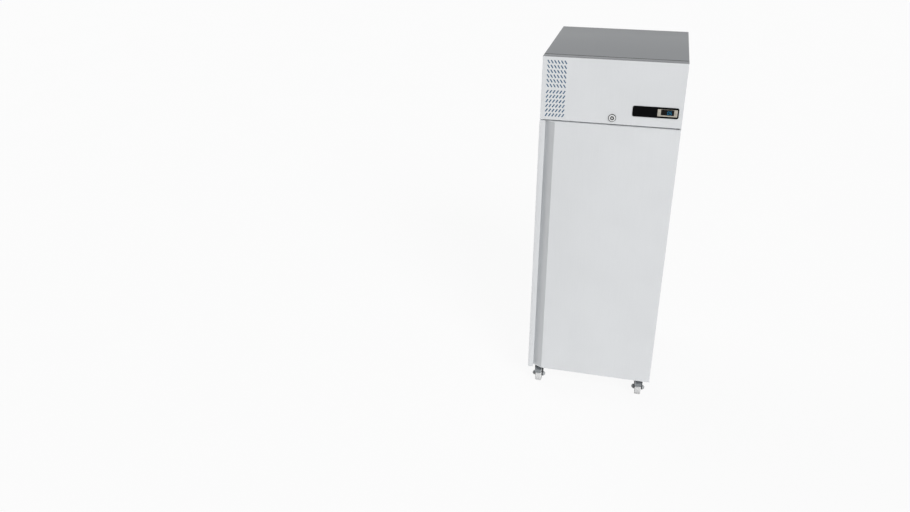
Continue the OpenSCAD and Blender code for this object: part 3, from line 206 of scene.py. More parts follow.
# Brushed stainless steel: upright scratches of the polishing belt, drawn wider than real ones so that they show
steel_upright = grain_finish(
    "brushed_stainless_upright", ("#DADCDE", "#DEE0E2"), (0.40, 0.47), (2, 2, 160), 0.002, 300, 0.2
)
# Walls of the finger recess: the same steel painted darker, as painted shade for the recess, with a duller
# reflection
recess_shaded_steel = grain_finish(
    "stainless_recess_painted_shade", ("#C9CBCD", "#CED0D2"), (0.36, 0.43), (2, 2, 160), 0.002, 300, 0.3
)
# The same belt finish laid across, as on folded trays and runners
steel_across = grain_finish(
    "brushed_stainless_across", ("#D0D2D4", "#D9DBDD"), (0.32, 0.42), (150, 2, 2), 0.003, 300, 0.8
)
# Cold-rolled stainless steel inside the cabinet: matt and cloudy, with no scratches
steel_rolled = grain_finish(
    "rolled_stainless", ("#CDD0D3", "#D8DADC"), (0.38, 0.50), (14, 14, 14), 0.004, 260, 0.7
)
# Satin nickel plating of the lock's ring and barrel: pale, with faint turning marks
nickel_satin = grain_finish(
    "satin_nickel_plate", ("#DFE0E0", "#E9EAEA"), (0.36, 0.44), (1, 1, 1), 0.002, 15, 0.2
)
# Grey on the top sheets, darker than the steel sides as painted shade for the top: an even colour with a fine
# orange peel
lid_shade_grey = grain_finish(
    "lid_grey_painted_shade", ("#848688", "#888A8C"), (0.50, 0.60), (3, 3, 3), 0.02, 260, Specular_IOR_Level=0.1
)
# Galvanised sheet on the machine deck and the fan shroud: zinc spangle of large flat crystals
zinc_sheet = cell_finish("galvanised_sheet", "#9AA0A4", "#B9BEC1", 14, (0.35, 0.5), 0.01, 0.8)
# Zinc-plated steel of fasteners, pins and castor plates: bright, faintly blue and slightly uneven
zinc_plate = grain_finish("zinc_plated_steel", ("#A9AFB5", "#C9CDD1"), (0.22, 0.36), (5, 5, 5), 0.01, 40, 0.9)
# Chromed wire: smooth and mirror-like, a little dulled by handling
chrome_wire = grain_finish("chromed_wire", ("#C9CCCF", "#DCDEE0"), (0.06, 0.16), (6, 6, 6), 0.004, 60, 1.0)
# Polyurethane foam: yellow-cream cells
foam = cell_finish("polyurethane_foam", "#D8C48B", "#EBDDB2", 2.5, (0.85, 0.95), 0.5)
# Moulded ABS of the door frame and covers: off-white with a fine moulded texture
abs_white = grain_finish("moulded_white_abs", ("#DFE0DF", "#E6E7E6"), (0.38, 0.48), (1.5, 1.5, 1.5), 0.012, 180)
# Washable air filter: blue nylon net over a blue-grey pad
filter_net = weave_finish("blue_filter_net", "#173C58", "#2C5E82", 2.6, 0.75)
# Gloss black ABS of the controller bezel and fans: deep, with a soft drift in its gloss. The same black is
# painted shade on the lock's rim, groove and barrel ring
gloss_black_and_shade = grain_finish(
    "gloss_black_abs_and_shade", ("#050506", "#08080A"), (0.22, 0.32), (4, 4, 4), 0.003, 60, Specular_IOR_Level=0.04
)
# Warm silver lacquer on the control panel: fine metal flake
silver_lacquer = grain_finish(
    "silver_lacquer", ("#AFAA9F", "#BBB5A9"), (0.36, 0.46), (0.8, 0.8, 0.8), 0.006, 40, 0.2
)
# Smoked acrylic over the display: nearly black with a brown cast, and very smooth
smoked_acrylic = grain_finish(
    "smoked_acrylic", ("#120E0D", "#1B1615"), (0.10, 0.16), (8, 8, 8), 0.001, 40, Specular_IOR_Level=0.08
)
# Magnetic seal: soft grey PVC, dull with a faint bloom
seal_pvc = grain_finish("grey_seal_pvc", ("#6A6C6E", "#7A7C7E"), (0.55, 0.68), (2.5, 2.5, 2.5), 0.03, 90)
# Black in the lid's seam, painted shade for the seam: matt, with hardly any gloss
seam_shade_black = grain_finish(
    "lid_seam_painted_shade", ("#0B0B0C", "#121213"), (0.7, 0.85), (2, 2, 2), 0.03, 40, Specular_IOR_Level=0.04
)
# Rubber feet and gland: dull black
rubber = grain_finish("black_rubber", ("#1B1B1C", "#262627"), (0.65, 0.8), (1.2, 1.2, 1.2), 0.05, 30)
# Black acetal of the hinge bushes: dull and waxy
acetal_black = grain_finish("black_acetal", ("#161617", "#1E1E20"), (0.45, 0.6), (3, 3, 3), 0.01, 30)
# Black-passivated steel of the hinge brackets: satin with a faint bronze drift
passivated = grain_finish(
    "black_passivated_steel", ("#232425", "#2F3031"), (0.38, 0.5), (5, 5, 5), 0.01, 40, 0.6
)
# Aluminium fins: bright mill finish
alu_fin = grain_finish("mill_aluminium", ("#BFC3C6", "#D3D6D8"), (0.3, 0.42), (2, 30, 30), 0.01, 60, 1.0)
# Copper tube: bright copper with browner oxide clouds
copper = grain_finish("copper_tube", ("#9A5B3E", "#C98A66"), (0.25, 0.42), (7, 7, 7), 0.01, 35, 1.0)
# Black stove enamel on the compressor and motors: satin with a little dust
black_enamel = grain_finish("black_enamel", ("#131314", "#1E1E20"), (0.34, 0.5), (3, 3, 3), 0.02, 60)
# Grey ABS of the electrical box
abs_grey = grain_finish("moulded_grey_abs", ("#6E7174", "#787B7E"), (0.42, 0.52), (1.5, 1.5, 1.5), 0.012, 120)
# Castor forks: pressed steel with a thin, dull, dark grey electrocoat
fork_grey = grain_finish("dark_grey_electrocoat", ("#2B2D2F", "#37393B"), (0.46, 0.58), (6, 6, 6), 0.02, 30)
# Castor wheels: white nylon, slightly translucent and scuffed
nylon_white = grain_finish("white_nylon", ("#D3D4D4", "#DDDDDD"), (0.36, 0.5), (5, 5, 5), 0.02, 30)
# Axle caps: light grey polypropylene, satin
cap_grey = grain_finish("grey_polypropylene", ("#A9ACAE", "#B6B9BA"), (0.4, 0.52), (3, 3, 3), 0.01, 25)
# Brake pedals: grey zinc-nickel pressing
pedal_grey = grain_finish(
    "grey_plated_pressing", ("#7F8386", "#8E9295"), (0.36, 0.48), (4, 4, 4), 0.012, 30, 0.35
)

# Lit segments of the display: an even sky blue with a faint mottle
display_blue, tree, place = start_material("display_segment_blue")
mottle = add(tree, "ShaderNodeTexNoise", {"Vector": place, "Scale": 300.0, "Detail": 1.0}).outputs["Fac"]
tint = add(tree, "ShaderNodeValToRGB", {"Fac": mottle}, stops=((0.3, "#1878A4"), (0.7, "#2690BE")))
segment = add(
    tree,
    "ShaderNodeBsdfPrincipled",
    {
        "Base Color": srgb("#0A2C3D"),
        "Emission Color": tint.outputs["Color"],
        "Emission Strength": 0.6,
        "Roughness": 0.4,
        "Specular IOR Level": 0.1,
    },
)
add(tree, "ShaderNodeOutputMaterial", {"Surface": segment.outputs["BSDF"]})

NODE_FINISH = {
    steel_upright: ["side_panels", "back_panel", "fascia_panel", "rear_grille", "door_end_caps"],
    steel_across: ["base_panel", "shelf_runners"],
    steel_rolled: ["inner_liner", "door_inner_panel", "shelf_posts"],
    zinc_sheet: ["machine_deck", "condenser_shroud"],
    nickel_satin: ["lock_barrel"],
    zinc_plate: ["lock_cam", "hinge_pins", "castor_plates"],
    foam: ["body_insulation", "door_insulation"],
    abs_white: ["door_frame", "drip_pan", "drain_pipe"],
    acetal_black: ["hinge_bushes"],
    filter_net: ["air_filter"],
    gloss_black_and_shade: ["condenser_fan", "evaporator_fan"],
    smoked_acrylic: ["controller_display"],
    rubber: ["compressor_feet", "mains_gland"],
    copper: ["refrigerant_pipes", "filter_drier"],
    black_enamel: ["compressor", "condenser_fan_motor", "evaporator_fan_motor"],
    nylon_white: WHEELS,
    alu_fin: ["evaporator_coil", "condenser_coil"],
}
for finish, names in NODE_FINISH.items():
    for name in names:
        mesh = frame["nodes"][name].data
        mesh.materials.clear()
        mesh.materials.append(finish)


# Meshes


def piece(name, mesh, finish, like, stands_for=()):
    """Makes a mesh a piece on the body of a CAD node, with the finish that is given, and hides the CAD nodes it
    stands for.
    """
    made = bpy.data.objects.new(name, mesh)
    bpy.context.scene.collection.objects.link(made)
    mesh.materials.clear()
    mesh.materials.append(finish)
    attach(made, BODY_OF[like])
    if stands_for:
        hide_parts(*stands_for)
    return made


def smooth(mesh, degrees):
    """Shades a mesh smooth except across edges sharper than an angle."""
    mesh.shade_smooth()
    mesh.set_sharp_from_angle(angle=math.radians(degrees))


def mesh_of(name, points, faces, smooth_degrees=None):
    """Mesh with merged doubles and faces that point outwards."""
    mesh = bpy.data.meshes.new(name)
    mesh.from_pydata([tuple(p) for p in points], [], faces)
    work = bmesh.new()
    work.from_mesh(mesh)
    bmesh.ops.remove_doubles(work, verts=work.verts, dist=1e-6)
    bmesh.ops.recalc_face_normals(work, faces=work.faces)
    work.to_mesh(mesh)
    work.free()
    if smooth_degrees is not None:
        smooth(mesh, smooth_degrees)
    return mesh


def prism_faces(count, first=0):
    """Faces of a prism whose two ends of some corners are listed one after the other, from a first corner."""
    near, far = range(first, first + count), range(first + count, first + 2 * count)
    sides = [(near[i - 1], near[i], far[i], far[i - 1]) for i in range(count)]
    return [tuple(near), tuple(far), *sides]


def merged_copy(node):
    """The mesh of a CAD node with its loose triangles joined."""
    work = bmesh.new()
    work.from_mesh(frame["nodes"][node].data)
    bmesh.ops.remove_doubles(work, verts=work.verts, dist=1e-6)
    return work


def solids_of(node):
    """Lowest and highest corner of each separate solid of a CAD node, in order of place."""
    work = merged_copy(node)
    seen = set()
    boxes = []
    for first in work.verts:
        if first in seen:
            continue
        seen.add(first)
        group = [first]
        for vertex in group:
            for edge in vertex.link_edges:
                other = edge.other_vert(vertex)
                if other not in seen:
                    seen.add(other)
                    group.append(other)
        corners = [[pick(v.co[i] for v in group) for i in range(3)] for pick in (min, max)]
        boxes.append(corners)
    work.free()
    return [(Vector(low), Vector(high)) for low, high in sorted(boxes)]


def eased(node, width, sharp_degrees=50, segments=2):
    """Copy of a CAD node with its sharp edges rounded off by a small width."""
    work = merged_copy(node)
    bmesh.ops.dissolve_limit(work, angle_limit=math.radians(0.5), verts=work.verts, edges=work.edges)
    limit = math.radians(sharp_degrees)
    edges = [e for e in work.edges if len(e.link_faces) == 2 and e.calc_face_angle() > limit]
    bmesh.ops.bevel(
        work, geom=edges, offset=width, segments=segments, profile=0.5, affect="EDGES", clamp_overlap=True
    )
    bmesh.ops.dissolve_degenerate(work, dist=1e-6, edges=work.edges)
    bmesh.ops.triangulate(work, faces=[f for f in work.faces if len(f.verts) > 4])
    mesh = bpy.data.meshes.new(node + "_eased")
    work.to_mesh(mesh)
    work.free()
    smooth(mesh, 40)
    return mesh


BEND_STEPS = 5


def bent_sheet(path, radii, thickness):
    """Outer and inner side of a folded sheet, from the path of its outer side and a radius at each bend."""
    outer, inner = [], []
    for i, point in enumerate(path):
        before = (point - path[i - 1]).normalized() if i else None
        after = (path[i + 1] - point).normalized() if i + 1 < len(path) else None
        normals = [Vector((-d.y, d.x)) for d in (before, after) if d is not None]
        if len(normals) == 1:
            outer.append(point)
            inner.append(point + thickness * normals[0])
            continue
        turn = before.angle_signed(after)
        side = -1 if turn > 0 else 1
        reach = radii[i] * math.tan(abs(turn) / 2)
        centre = point - reach * before + side * radii[i] * normals[0]
        for k in range(BEND_STEPS + 1):
            normal = Matrix.Rotation(-turn * k / BEND_STEPS, 2) @ normals[0]
            spot = centre - side * radii[i] * normal
            outer.append(spot)
            inner.append(spot + thickness * normal)
    return outer, inner


def extruded_strip(name, outer, inner, low, high, degrees=40):
    """Closed sheet between two levels, from both sides of its section."""
    points, faces = [], []
    count = len(outer)
    for level in (low, high):
        points += [(p.x, p.y, level) for p in outer] + [(p.x, p.y, level) for p in inner]
    top = 2 * count
    for i in range(count - 1):
        o, n = i, count + i
        faces += [
            (o, o + 1, top + o + 1, top + o),
            (n, n + 1, top + n + 1, top + n),
            (o, o + 1, n + 1, n),
            (top + o, top + o + 1, top + n + 1, top + n),
        ]
    for i in (0, count - 1):
        faces.append((i, count + i, top + count + i, top + i))
    return mesh_of(name, points, faces, degrees)


def rounded_outline(low, high, radius, steps=6):
    """Points round a rectangle with round corners, in X and Z."""
    points = []
    for corner, (x, z) in enumerate(
        (
            (high[0] - radius, high[1] - radius),
            (low[0] + radius, high[1] - radius),
            (low[0] + radius, low[1] + radius),
            (high[0] - radius, low[1] + radius),
        )
    ):
        for k in range(steps + 1):
            angle = math.radians(90 * (corner + k / steps))
            points.append((x + radius * math.cos(angle), z + radius * math.sin(angle)))
    return points


def turned(name, profile, centre, axis, steps=48, degrees=35):
    """Solid of revolution about an axis, from a closed list of (radius, place along the axis) points."""
    turn = Vector((0, 0, 1)).rotation_difference(Vector(axis)).to_matrix()
    points, faces = [], []
    count = len(profile)
    for k in range(steps):
        angle = 2 * math.pi * k / steps
        for radius, along in profile:
            spot = turn @ Vector((radius * math.cos(angle), radius * math.sin(angle), along))
            points.append(Vector(centre) + spot)
    for k in range(steps):
        this, after = k * count, (k + 1) % steps * count
        for i in range(count):
            j = (i + 1) % count
            if profile[i][0] > 0 or profile[j][0] > 0:
                faces.append((this + i, this + j, after + j, after + i))
    return mesh_of(name, points, faces, degrees)


def joined(name, meshes):
    """One mesh from several."""
    work = bmesh.new()
    for mesh in meshes:
        work.from_mesh(mesh)
    made = bpy.data.meshes.new(name)
    work.to_mesh(made)
    work.free()
    return made


def size_tree(name, sizes):
    """An empty Geometry Nodes tree with a named input for each size, and the sockets that give them."""
    tree = bpy.data.node_groups.new(name, "GeometryNodeTree")
    kinds = {int: "NodeSocketInt", float: "NodeSocketFloat", tuple: "NodeSocketVector"}
    tree.interface.new_socket("Geometry", in_out="INPUT", socket_type="NodeSocketGeometry")
    tree.interface.new_socket("Finish", in_out="INPUT", socket_type="NodeSocketMaterial")
    for key, value in sizes.items():
        tree.interface.new_socket(key, in_out="INPUT", socket_type=kinds[type(value)])
    tree.interface.new_socket("Geometry", in_out="OUTPUT", socket_type="NodeSocketGeometry")
    return tree, add(tree, "NodeGroupInput").outputs


def close_tree(tree, given, instance, rotation=None):
    """Sets one shape on every point that comes in, makes it real and gives it its finish."""
    inputs = {"Points": given["Geometry"], "Instance": instance}
    if rotation is not None:
        inputs["Rotation"] = rotation
    placed = add(tree, "GeometryNodeInstanceOnPoints", inputs).outputs["Instances"]
    real = add(tree, "GeometryNodeRealizeInstances", {"Geometry": placed}).outputs["Geometry"]
    coated = add(tree, "GeometryNodeSetMaterial", {"Geometry": real, "Material": given["Finish"]})
    add(tree, "NodeGroupOutput", {"Geometry": coated.outputs["Geometry"]})


def grown(name, tree, sizes, finish, points, facing=None, degrees=40):
    """Plain mesh that a tree makes with its sizes on a list of points, which may each face a way."""
    seed = bpy.data.meshes.new(name)
    seed.from_pydata([tuple(p) for p in points], [], [])
    if facing is not None:
        ways = seed.attributes.new("facing", "FLOAT_VECTOR", "POINT")
        ways.data.foreach_set("vector", [c for way in facing for c in way])
    carrier = bpy.data.objects.new(name, seed)
    bpy.context.scene.collection.objects.link(carrier)
    modifier = carrier.modifiers.new(name, "NODES")
    modifier.node_group = tree
    values = {"Finish": finish, **sizes}
    for item in tree.interface.items_tree:
        if item.in_out == "INPUT" and item.name in values:
            modifier[item.identifier] = values[item.name]
    depsgraph = bpy.context.evaluated_depsgraph_get()
    mesh = bpy.data.meshes.new_from_object(carrier.evaluated_get(depsgraph))
    carrier.modifiers.clear()
    bpy.data.objects.remove(carrier)
    for attribute in [a for a in mesh.attributes if a.name == "facing"]:
        mesh.attributes.remove(attribute)
    smooth(mesh, degrees)
    return mesh


def faces_way(tree):
    """Rotation that turns a shape's Z to the way its point faces."""
    way = add(tree, "GeometryNodeInputNamedAttribute", {"Name": "facing"}, data_type="FLOAT_VECTOR")
    return add(
        tree, "FunctionNodeAlignRotationToVector", {"Vector": way.outputs["Attribute"]}, axis="Z"
    ).outputs["Rotation"]


# Door sheet, folded in one piece round the rail, the finger recess and both edges

skin_low, skin_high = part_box("door_skin")
handle_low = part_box("door_handle")[0]
RAIL_W = 32 * MM
RECESS_D = 34 * MM
RECESS_UNDERCUT = 12 * MM
RECESS_END = 82 * MM
SHEET_T = 1 * MM
BEND_R = 2.5 * MM
TIGHT_BEND_R = 1.3 * MM
left, right = handle_low.x, skin_high.x
front, back = skin_low.y, skin_high.y
door_path = [
    Vector((left, back)),
    Vector((left, front)),
    Vector((left + RAIL_W, front)),
    Vector((left + RAIL_W - RECESS_UNDERCUT, front + RECESS_D)),
    Vector((left + RECESS_END, front)),
    Vector((right, front)),
    Vector((right, back)),
]
bend_radii = [0, BEND_R, TIGHT_BEND_R, TIGHT_BEND_R, BEND_R, BEND_R, 0]
sides = bent_sheet(door_path, bend_radii, SHEET_T)
rail_end = 2 + 2 * BEND_STEPS
front_start = 4 + 3 * BEND_STEPS
rail, recess, field = [
    extruded_strip("door_sheet", *[side[part] for side in sides], skin_low.z, skin_high.z)
    for part in (slice(rail_end + 1), slice(rail_end, front_start + 1), slice(front_start, None))
]
sheet = joined("door_outer_sheet", [rail, field])
piece("door_outer_sheet", sheet, steel_upright, "door_skin", ["door_skin", "door_handle"])
# The recess walls take the darker copy of the steel: painted shade
piece("finger_recess_walls", recess, recess_shaded_steel, "door_handle")

# Magnetic seal with a bellows section, mitred round the door

seal_low, seal_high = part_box("door_gasket")
SEAL_W = 18 * MM
# Section as (share of the width from the outer side, share of the depth from the door)
SEAL_SECTION = [
    (0.06, 0.0),
    (0.02, 0.12),
    (0.10, 0.22),
    (0.22, 0.27),
    (0.24, 0.33),
    (0.10, 0.40),
    (0.02, 0.50),
    (0.00, 0.66),
    (0.02, 0.86),
    (0.08, 0.97),
    (0.18, 1.0),
    (0.80, 1.0),
    (0.92, 0.96),
    (0.98, 0.84),
    (1.00, 0.66),
    (0.97, 0.50),
    (0.86, 0.40),
    (0.74, 0.34),
    (0.78, 0.26),
    (0.90, 0.20),
    (0.98, 0.10),
    (0.94, 0.0),
]


def mitred_frame(name, low, high, width, section):
    """Section swept round a rectangle in X and Z, with mitred corners."""
    points, faces = [], []
    count = len(section)
    for x_sign, z_sign in ((1, 1), (-1, 1), (-1, -1), (1, -1)):
        for across, depth in section:
            inset = across * width
            x = high.x - inset if x_sign > 0 else low.x + inset
            z = high.z - inset if z_sign > 0 else low.z + inset
            points.append((x, low.y + depth * (high.y - low.y), z))
    for corner in range(4):
        this, after = corner * count, (corner + 1) % 4 * count
        for i in range(count):
            j = (i + 1) % count
            faces.append((this + i, this + j, after + j, after + i))
    return mesh_of(name, points, faces, 50)


piece(
    "door_seal",
    mitred_frame("door_seal", seal_low, seal_high, SEAL_W, SEAL_SECTION),
    seal_pvc,
    "door_gasket",
    ["door_gasket"],
)

# Controller: a black bezel, the silver panel in it, the digits and the marks on the keys

bezel_low, bezel_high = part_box("controller_bezel")
panel_low, panel_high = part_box("controller_housing")
display_low, display_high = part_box("controller_display")
BEZEL_R = 9 * MM
BEZEL_EDGE = 1.2 * MM
PANEL_R = 1 * MM
PANEL_EDGE = 0.4 * MM
PANEL_LIP = 4 * MM
WINDOW_GAP = 0.1 * MM
KEY_GAP = 0.2 * MM
DISPLAY_SEAT = 2 * MM
KEY_SEAT = 3 * MM


def plate_mesh(name, low, high, radius, edge, windows):
    """Plate with round corners, a rounded front edge, and windows: two corners, a gap, and a depth or None."""
    work = bmesh.new()
    rings = []
    for inset, y in ((0, high.y), (0, low.y + edge), (0.3 * edge, low.y + 0.3 * edge), (edge, low.y)):
        outline = rounded_outline(
            (low.x + inset, low.z + inset), (high.x - inset, high.z - inset), radius - inset
        )
        rings.append([work.verts.new((x, y, z)) for x, z in outline])
    strips, fronts, backs = [rings], [rings[-1]], [rings[0]]
    for first, last, gap, depth in windows:
        x0, x1, z0, z1 = first.x - gap, last.x + gap, first.z - gap, last.z + gap
        mouth, end = [
            [work.verts.new((x, y, z)) for x, z in ((x1, z1), (x0, z1), (x0, z0), (x1, z0))]
            for y in (low.y, low.y + depth if depth else high.y)
        ]
        strips.append([mouth, end])
        fronts.append(mouth)
        if depth:
            work.faces.new(end)
        else:
            backs.append(end)
    for strip in strips:
        for a, b in zip(strip, strip[1:]):
            for i in range(len(a)):
                j = (i + 1) % len(a)
                work.faces.new((a[i], a[j], b[j], b[i]))
    for loops in (fronts, backs):
        rims = [work.edges.get((loop[i - 1], loop[i])) for loop in loops for i in range(len(loop))]
        bmesh.ops.triangle_fill(work, edges=rims, use_beauty=True)
    bmesh.ops.recalc_face_normals(work, faces=work.faces)
    mesh = bpy.data.meshes.new(name)
    work.to_mesh(mesh)
    work.free()
    smooth(mesh, 35)
    return mesh


bezel = plate_mesh(
    "controller_bezel_plate",
    bezel_low,
    bezel_high,
    BEZEL_R,
    BEZEL_EDGE,
    [(panel_low, panel_high, WINDOW_GAP, None)],
)
piece("controller_bezel_plate", bezel, gloss_black_and_shade, "controller_bezel", ["controller_bezel"])
panel_front = plate_mesh(
    "panel_front",
    panel_low,
    Vector((panel_high.x, bezel_high.y, panel_high.z)),
    PANEL_R,
    PANEL_EDGE,
    [
        (display_low, display_high, WINDOW_GAP, DISPLAY_SEAT),
        (*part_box("key_left"), KEY_GAP, KEY_SEAT),
        (*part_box("key_right"), KEY_GAP, KEY_SEAT),
    ],
)
panel_body = plate_mesh(
    "panel_body",
    Vector((panel_low.x + PANEL_LIP, bezel_high.y, panel_low.z + PANEL_LIP)),
    Vector((panel_high.x - PANEL_LIP, panel_high.y, panel_high.z - PANEL_LIP)),
    PANEL_R,
    PANEL_EDGE,
    [],
)
panel = joined("control_panel", [panel_front, panel_body])
piece("control_panel", panel, silver_lacquer, "controller_housing", ["controller_housing"])

# Segments of a digit, as the two ends of each bar in half widths and half heights
SEGMENT_ENDS = {
    "a": ((-1, 2), (1, 2)),
    "b": ((1, 2), (1, 0)),
    "c": ((1, 0), (1, -2)),
    "d": ((-1, -2), (1, -2)),
    "e": ((-1, 0), (-1, -2)),
    "f": ((-1, 2), (-1, 0)),
    "g": ((-1, 0), (1, 0)),
}
DIGIT_SEGMENTS = {"0": "abcdef", "5": "acdfg"}
READING = "05"
DIGIT_W = 8 * MM
DIGIT_H = 16 * MM
DIGIT_STEP = 12.5 * MM
DIGIT_LEAN = 0.1
BAR_W = 2.4 * MM
BAR_T = 0.15 * MM
BAR_GAP = 0.3 * MM
READING_X = 10.5 * MM
READING_Z = -2 * MM


def digits_mesh():
    """Slanted seven-segment digits, each bar with pointed ends, just proud of the window."""
    points, faces = [], []
    mid = (display_low + display_high) / 2
    for place, digit in enumerate(READING):
        centre_x = mid.x + READING_X + (place - (len(READING) - 1) / 2) * DIGIT_STEP
        for name in DIGIT_SEGMENTS[digit]:
            a, b = [Vector((u * DIGIT_W / 2, v * DIGIT_H / 4)) for u, v in SEGMENT_ENDS[name]]
            along = (b - a).normalized()
            across = Vector((-along.y, along.x)) * BAR_W / 2
            a, b = a + along * BAR_GAP, b - along * BAR_GAP
            tip = along * BAR_W / 2
            outline = [a, a + tip - across, b - tip - across, b, b - tip + across, a + tip + across]
            faces += prism_faces(len(outline), len(points))
            for depth in (display_low.y, display_low.y - BAR_T):
                for p in outline:
                    points.append((centre_x + p.x + DIGIT_LEAN * p.y, depth, mid.z + READING_Z + p.y))
    return mesh_of("display_digits", points, faces)


piece("display_digits", digits_mesh(), display_blue, "controller_display")

MARK_W = 5 * MM
MARK_H = 4.4 * MM
MARK_T = 0.12 * MM
for key, turn in (("key_left", -1), ("key_right", 1)):
    low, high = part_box(key)
    mid = (low + high) / 2
    corners = [(-MARK_W / 2, -turn * MARK_H / 2), (MARK_W / 2, -turn * MARK_H / 2), (0, turn * MARK_H / 2)]
    points = [(mid.x + u, y, mid.z + v) for y in (low.y, low.y - MARK_T) for u, v in corners]
    piece(key + "_mark", mesh_of(key + "_mark", points, prism_faces(len(corners))), abs_grey, key)

# Lock: a bright dished ring whose outer rim and groove are black as painted shade, and a black ring on the
# barrel round its key slot as painted shade for its raised edge

ring_low, ring_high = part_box("lock_body")
lock_mid = (ring_low + ring_high) / 2
lock_face = (lock_mid.x, ring_low.y, lock_mid.z)
RING_R = (ring_high.x - ring_low.x) / 2
RING_T = 6 * MM
BODY_R = 14 * MM
BORE_R = 9.1 * MM
SHADE_RIM_W = 2.6 * MM
GROOVE_W = 1.6 * MM
GROOVE_D = 2.5 * MM
GROOVE_SHADE_D = 0.8 * MM
HUB_R = 5 * MM
HUB_RIM = 0.3 * MM
HUB_PROUD = 0.4 * MM
bright_r = RING_R - SHADE_RIM_W
bright_profile = [
    (BORE_R, GROOVE_D),
    (BORE_R + GROOVE_W, GROOVE_D),
    (BORE_R + GROOVE_W, 0.3 * MM),
    (BORE_R + GROOVE_W + 0.3 * MM, 0),
    (bright_r - 1.2 * MM, 0),
    (bright_r - 0.3 * MM, 0.35 * MM),
    (bright_r, 1.2 * MM),
    (bright_r, RING_T),
    (BODY_R, RING_T),
    (BODY_R, ring_high.y - ring_low.y),
    (BORE_R, ring_high.y - ring_low.y),
]
rim_shade_profile = [
    (bright_r, 0.9 * MM),
    (RING_R - 1.4 * MM, 0.6 * MM),
    (RING_R - 0.4 * MM, 1.2 * MM),
    (RING_R, 2.2 * MM),
    (RING_R, RING_T),
    (bright_r, RING_T),
]
groove_shade_profile = [
    (BORE_R, GROOVE_SHADE_D),
    (BORE_R + GROOVE_W, GROOVE_SHADE_D),
    (BORE_R + GROOVE_W, GROOVE_D),
    (BORE_R, GROOVE_D),
]
bright_ring, *black_rings = [
    turned("lock_escutcheon", profile, lock_face, (0, 1, 0))
    for profile in (bright_profile, rim_shade_profile, groove_shade_profile)
]
piece("lock_escutcheon", bright_ring, nickel_satin, "lock_body", ["lock_body"])
# Black rim and groove ring: painted shade
piece("lock_rim_painted_shade", joined("lock_rim_painted_shade", black_rings), gloss_black_and_shade, "lock_body")
barrel_low, barrel_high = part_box("lock_barrel")
hub_edge = (barrel_high.x - barrel_low.x) / 2 - HUB_RIM
hub_profile = [
    (HUB_R, -HUB_PROUD),
    (hub_edge - HUB_RIM, -HUB_PROUD),
    (hub_edge, 0),
    (hub_edge, HUB_PROUD),
    (HUB_R, HUB_PROUD),
]
barrel_face = (lock_mid.x, barrel_low.y, lock_mid.z)
# Black ring round the key slot: painted shade for its raised edge
hub_ring = turned("barrel_ring_painted_shade", hub_profile, barrel_face, (0, 1, 0))
piece("barrel_ring_painted_shade", hub_ring, gloss_black_and_shade, "lock_barrel")

# Folded, pressed and moulded pieces with eased edges

EASED = {
    "key_left": (0.6 * MM, silver_lacquer),
    "key_right": (0.6 * MM, silver_lacquer),
    "evaporator_cover": (0.6 * MM, abs_white),
    "electrical_box": (1.5 * MM, abs_grey),
    "hinge_brackets": (0.5 * MM, passivated),
    **{fork: (0.8 * MM, fork_grey) for fork in FORKS},
    **{pedal: (0.8 * MM, pedal_grey) for pedal in PEDALS},
}
for node, (width, finish) in EASED.items():
    piece(node + "_eased", eased(node, width), finish, node, [node])

# Lid: two sheets in grey, painted shade for the top, and a black bead smoothed over the seam between them,
# painted shade for the seam

LID_EDGE = 0.3 * MM
BEAD_PROUD = 0.3 * MM
BEAD_LAP = 2.5 * MM
front_lid, rear_lid = sorted(
    (box for box in solids_of("top_panels") if box[1].z > cad_high.z - 0.1 * MM), key=lambda box: box[0].y
)
lid = eased("top_panels", LID_EDGE)
for vertex in lid.vertices:
    if vertex.co.z > cad_high.z - 2 * LID_EDGE:
        vertex.co.z -= BEAD_PROUD
# The lid sheets take the darker grey: painted shade for the top
piece("top_panels_eased", lid, lid_shade_grey, "top_panels", ["top_panels"])
seam_y = (front_lid[1].y + rear_lid[0].y) / 2
seam_half = (rear_lid[0].y - front_lid[1].y) / 2
bead_half = seam_half + BEAD_LAP
bead_section = [(share * bead_half, BEAD_PROUD * share**2) for share in (-1, -0.7, -0.4, 0, 0.4, 0.7, 1)]
lap_under = BEAD_PROUD + 0.05 * MM
bead_section += [(bead_half, lap_under), (seam_half, lap_under), (seam_half, SHEET_T)]
bead_section += [(-seam_half, SHEET_T), (-seam_half, lap_under), (-bead_half, lap_under)]
bead_points = [
    (x, seam_y + across, cad_high.z - down)
    for x in (front_lid[0].x, front_lid[1].x)
    for across, down in bead_section
]
# The bead is black as painted shade for the seam
bead = mesh_of("lid_seam_shade", bead_points, prism_faces(len(bead_section)), 60)
piece("lid_seam_shade", bead, seam_shade_black, "top_panels")

# Axle caps: moulded dome caps over the ends of the axles

CAP_R = 13.3 * MM
NECK_R = 8.4 * MM
CAP_PROFILE = [
    (0, 0),
    (CAP_R, 0),
    (CAP_R, 8.0 * MM),
    (CAP_R - 0.8 * MM, 8.4 * MM),
    (NECK_R + 0.6 * MM, 8.6 * MM),
    (NECK_R, 9.4 * MM),
    (NECK_R, 11.6 * MM),
    (NECK_R - 0.8 * MM, 12.8 * MM),
    (NECK_R - 2.6 * MM, 13.6 * MM),
    (0, 14.0 * MM),
]
CAP_L = 13 * MM
for fork, wheel in zip(FORKS, WHEELS):
    low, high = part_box(fork)
    wheel_low, wheel_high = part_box(wheel)
    axle = (wheel_low + wheel_high) / 2
    caps = [
        turned(fork + "_cap", CAP_PROFILE, (high.x - CAP_L, axle.y, axle.z), (1, 0, 0)),
        turned(fork + "_cap", CAP_PROFILE, (low.x + CAP_L, axle.y, axle.z), (-1, 0, 0)),
    ]
    piece(fork.replace("fork", "axle_caps"), joined("axle_caps", caps), cap_grey, fork)

# Wire shelves: a bent rod frame with round corners, wires along it and a brace under them

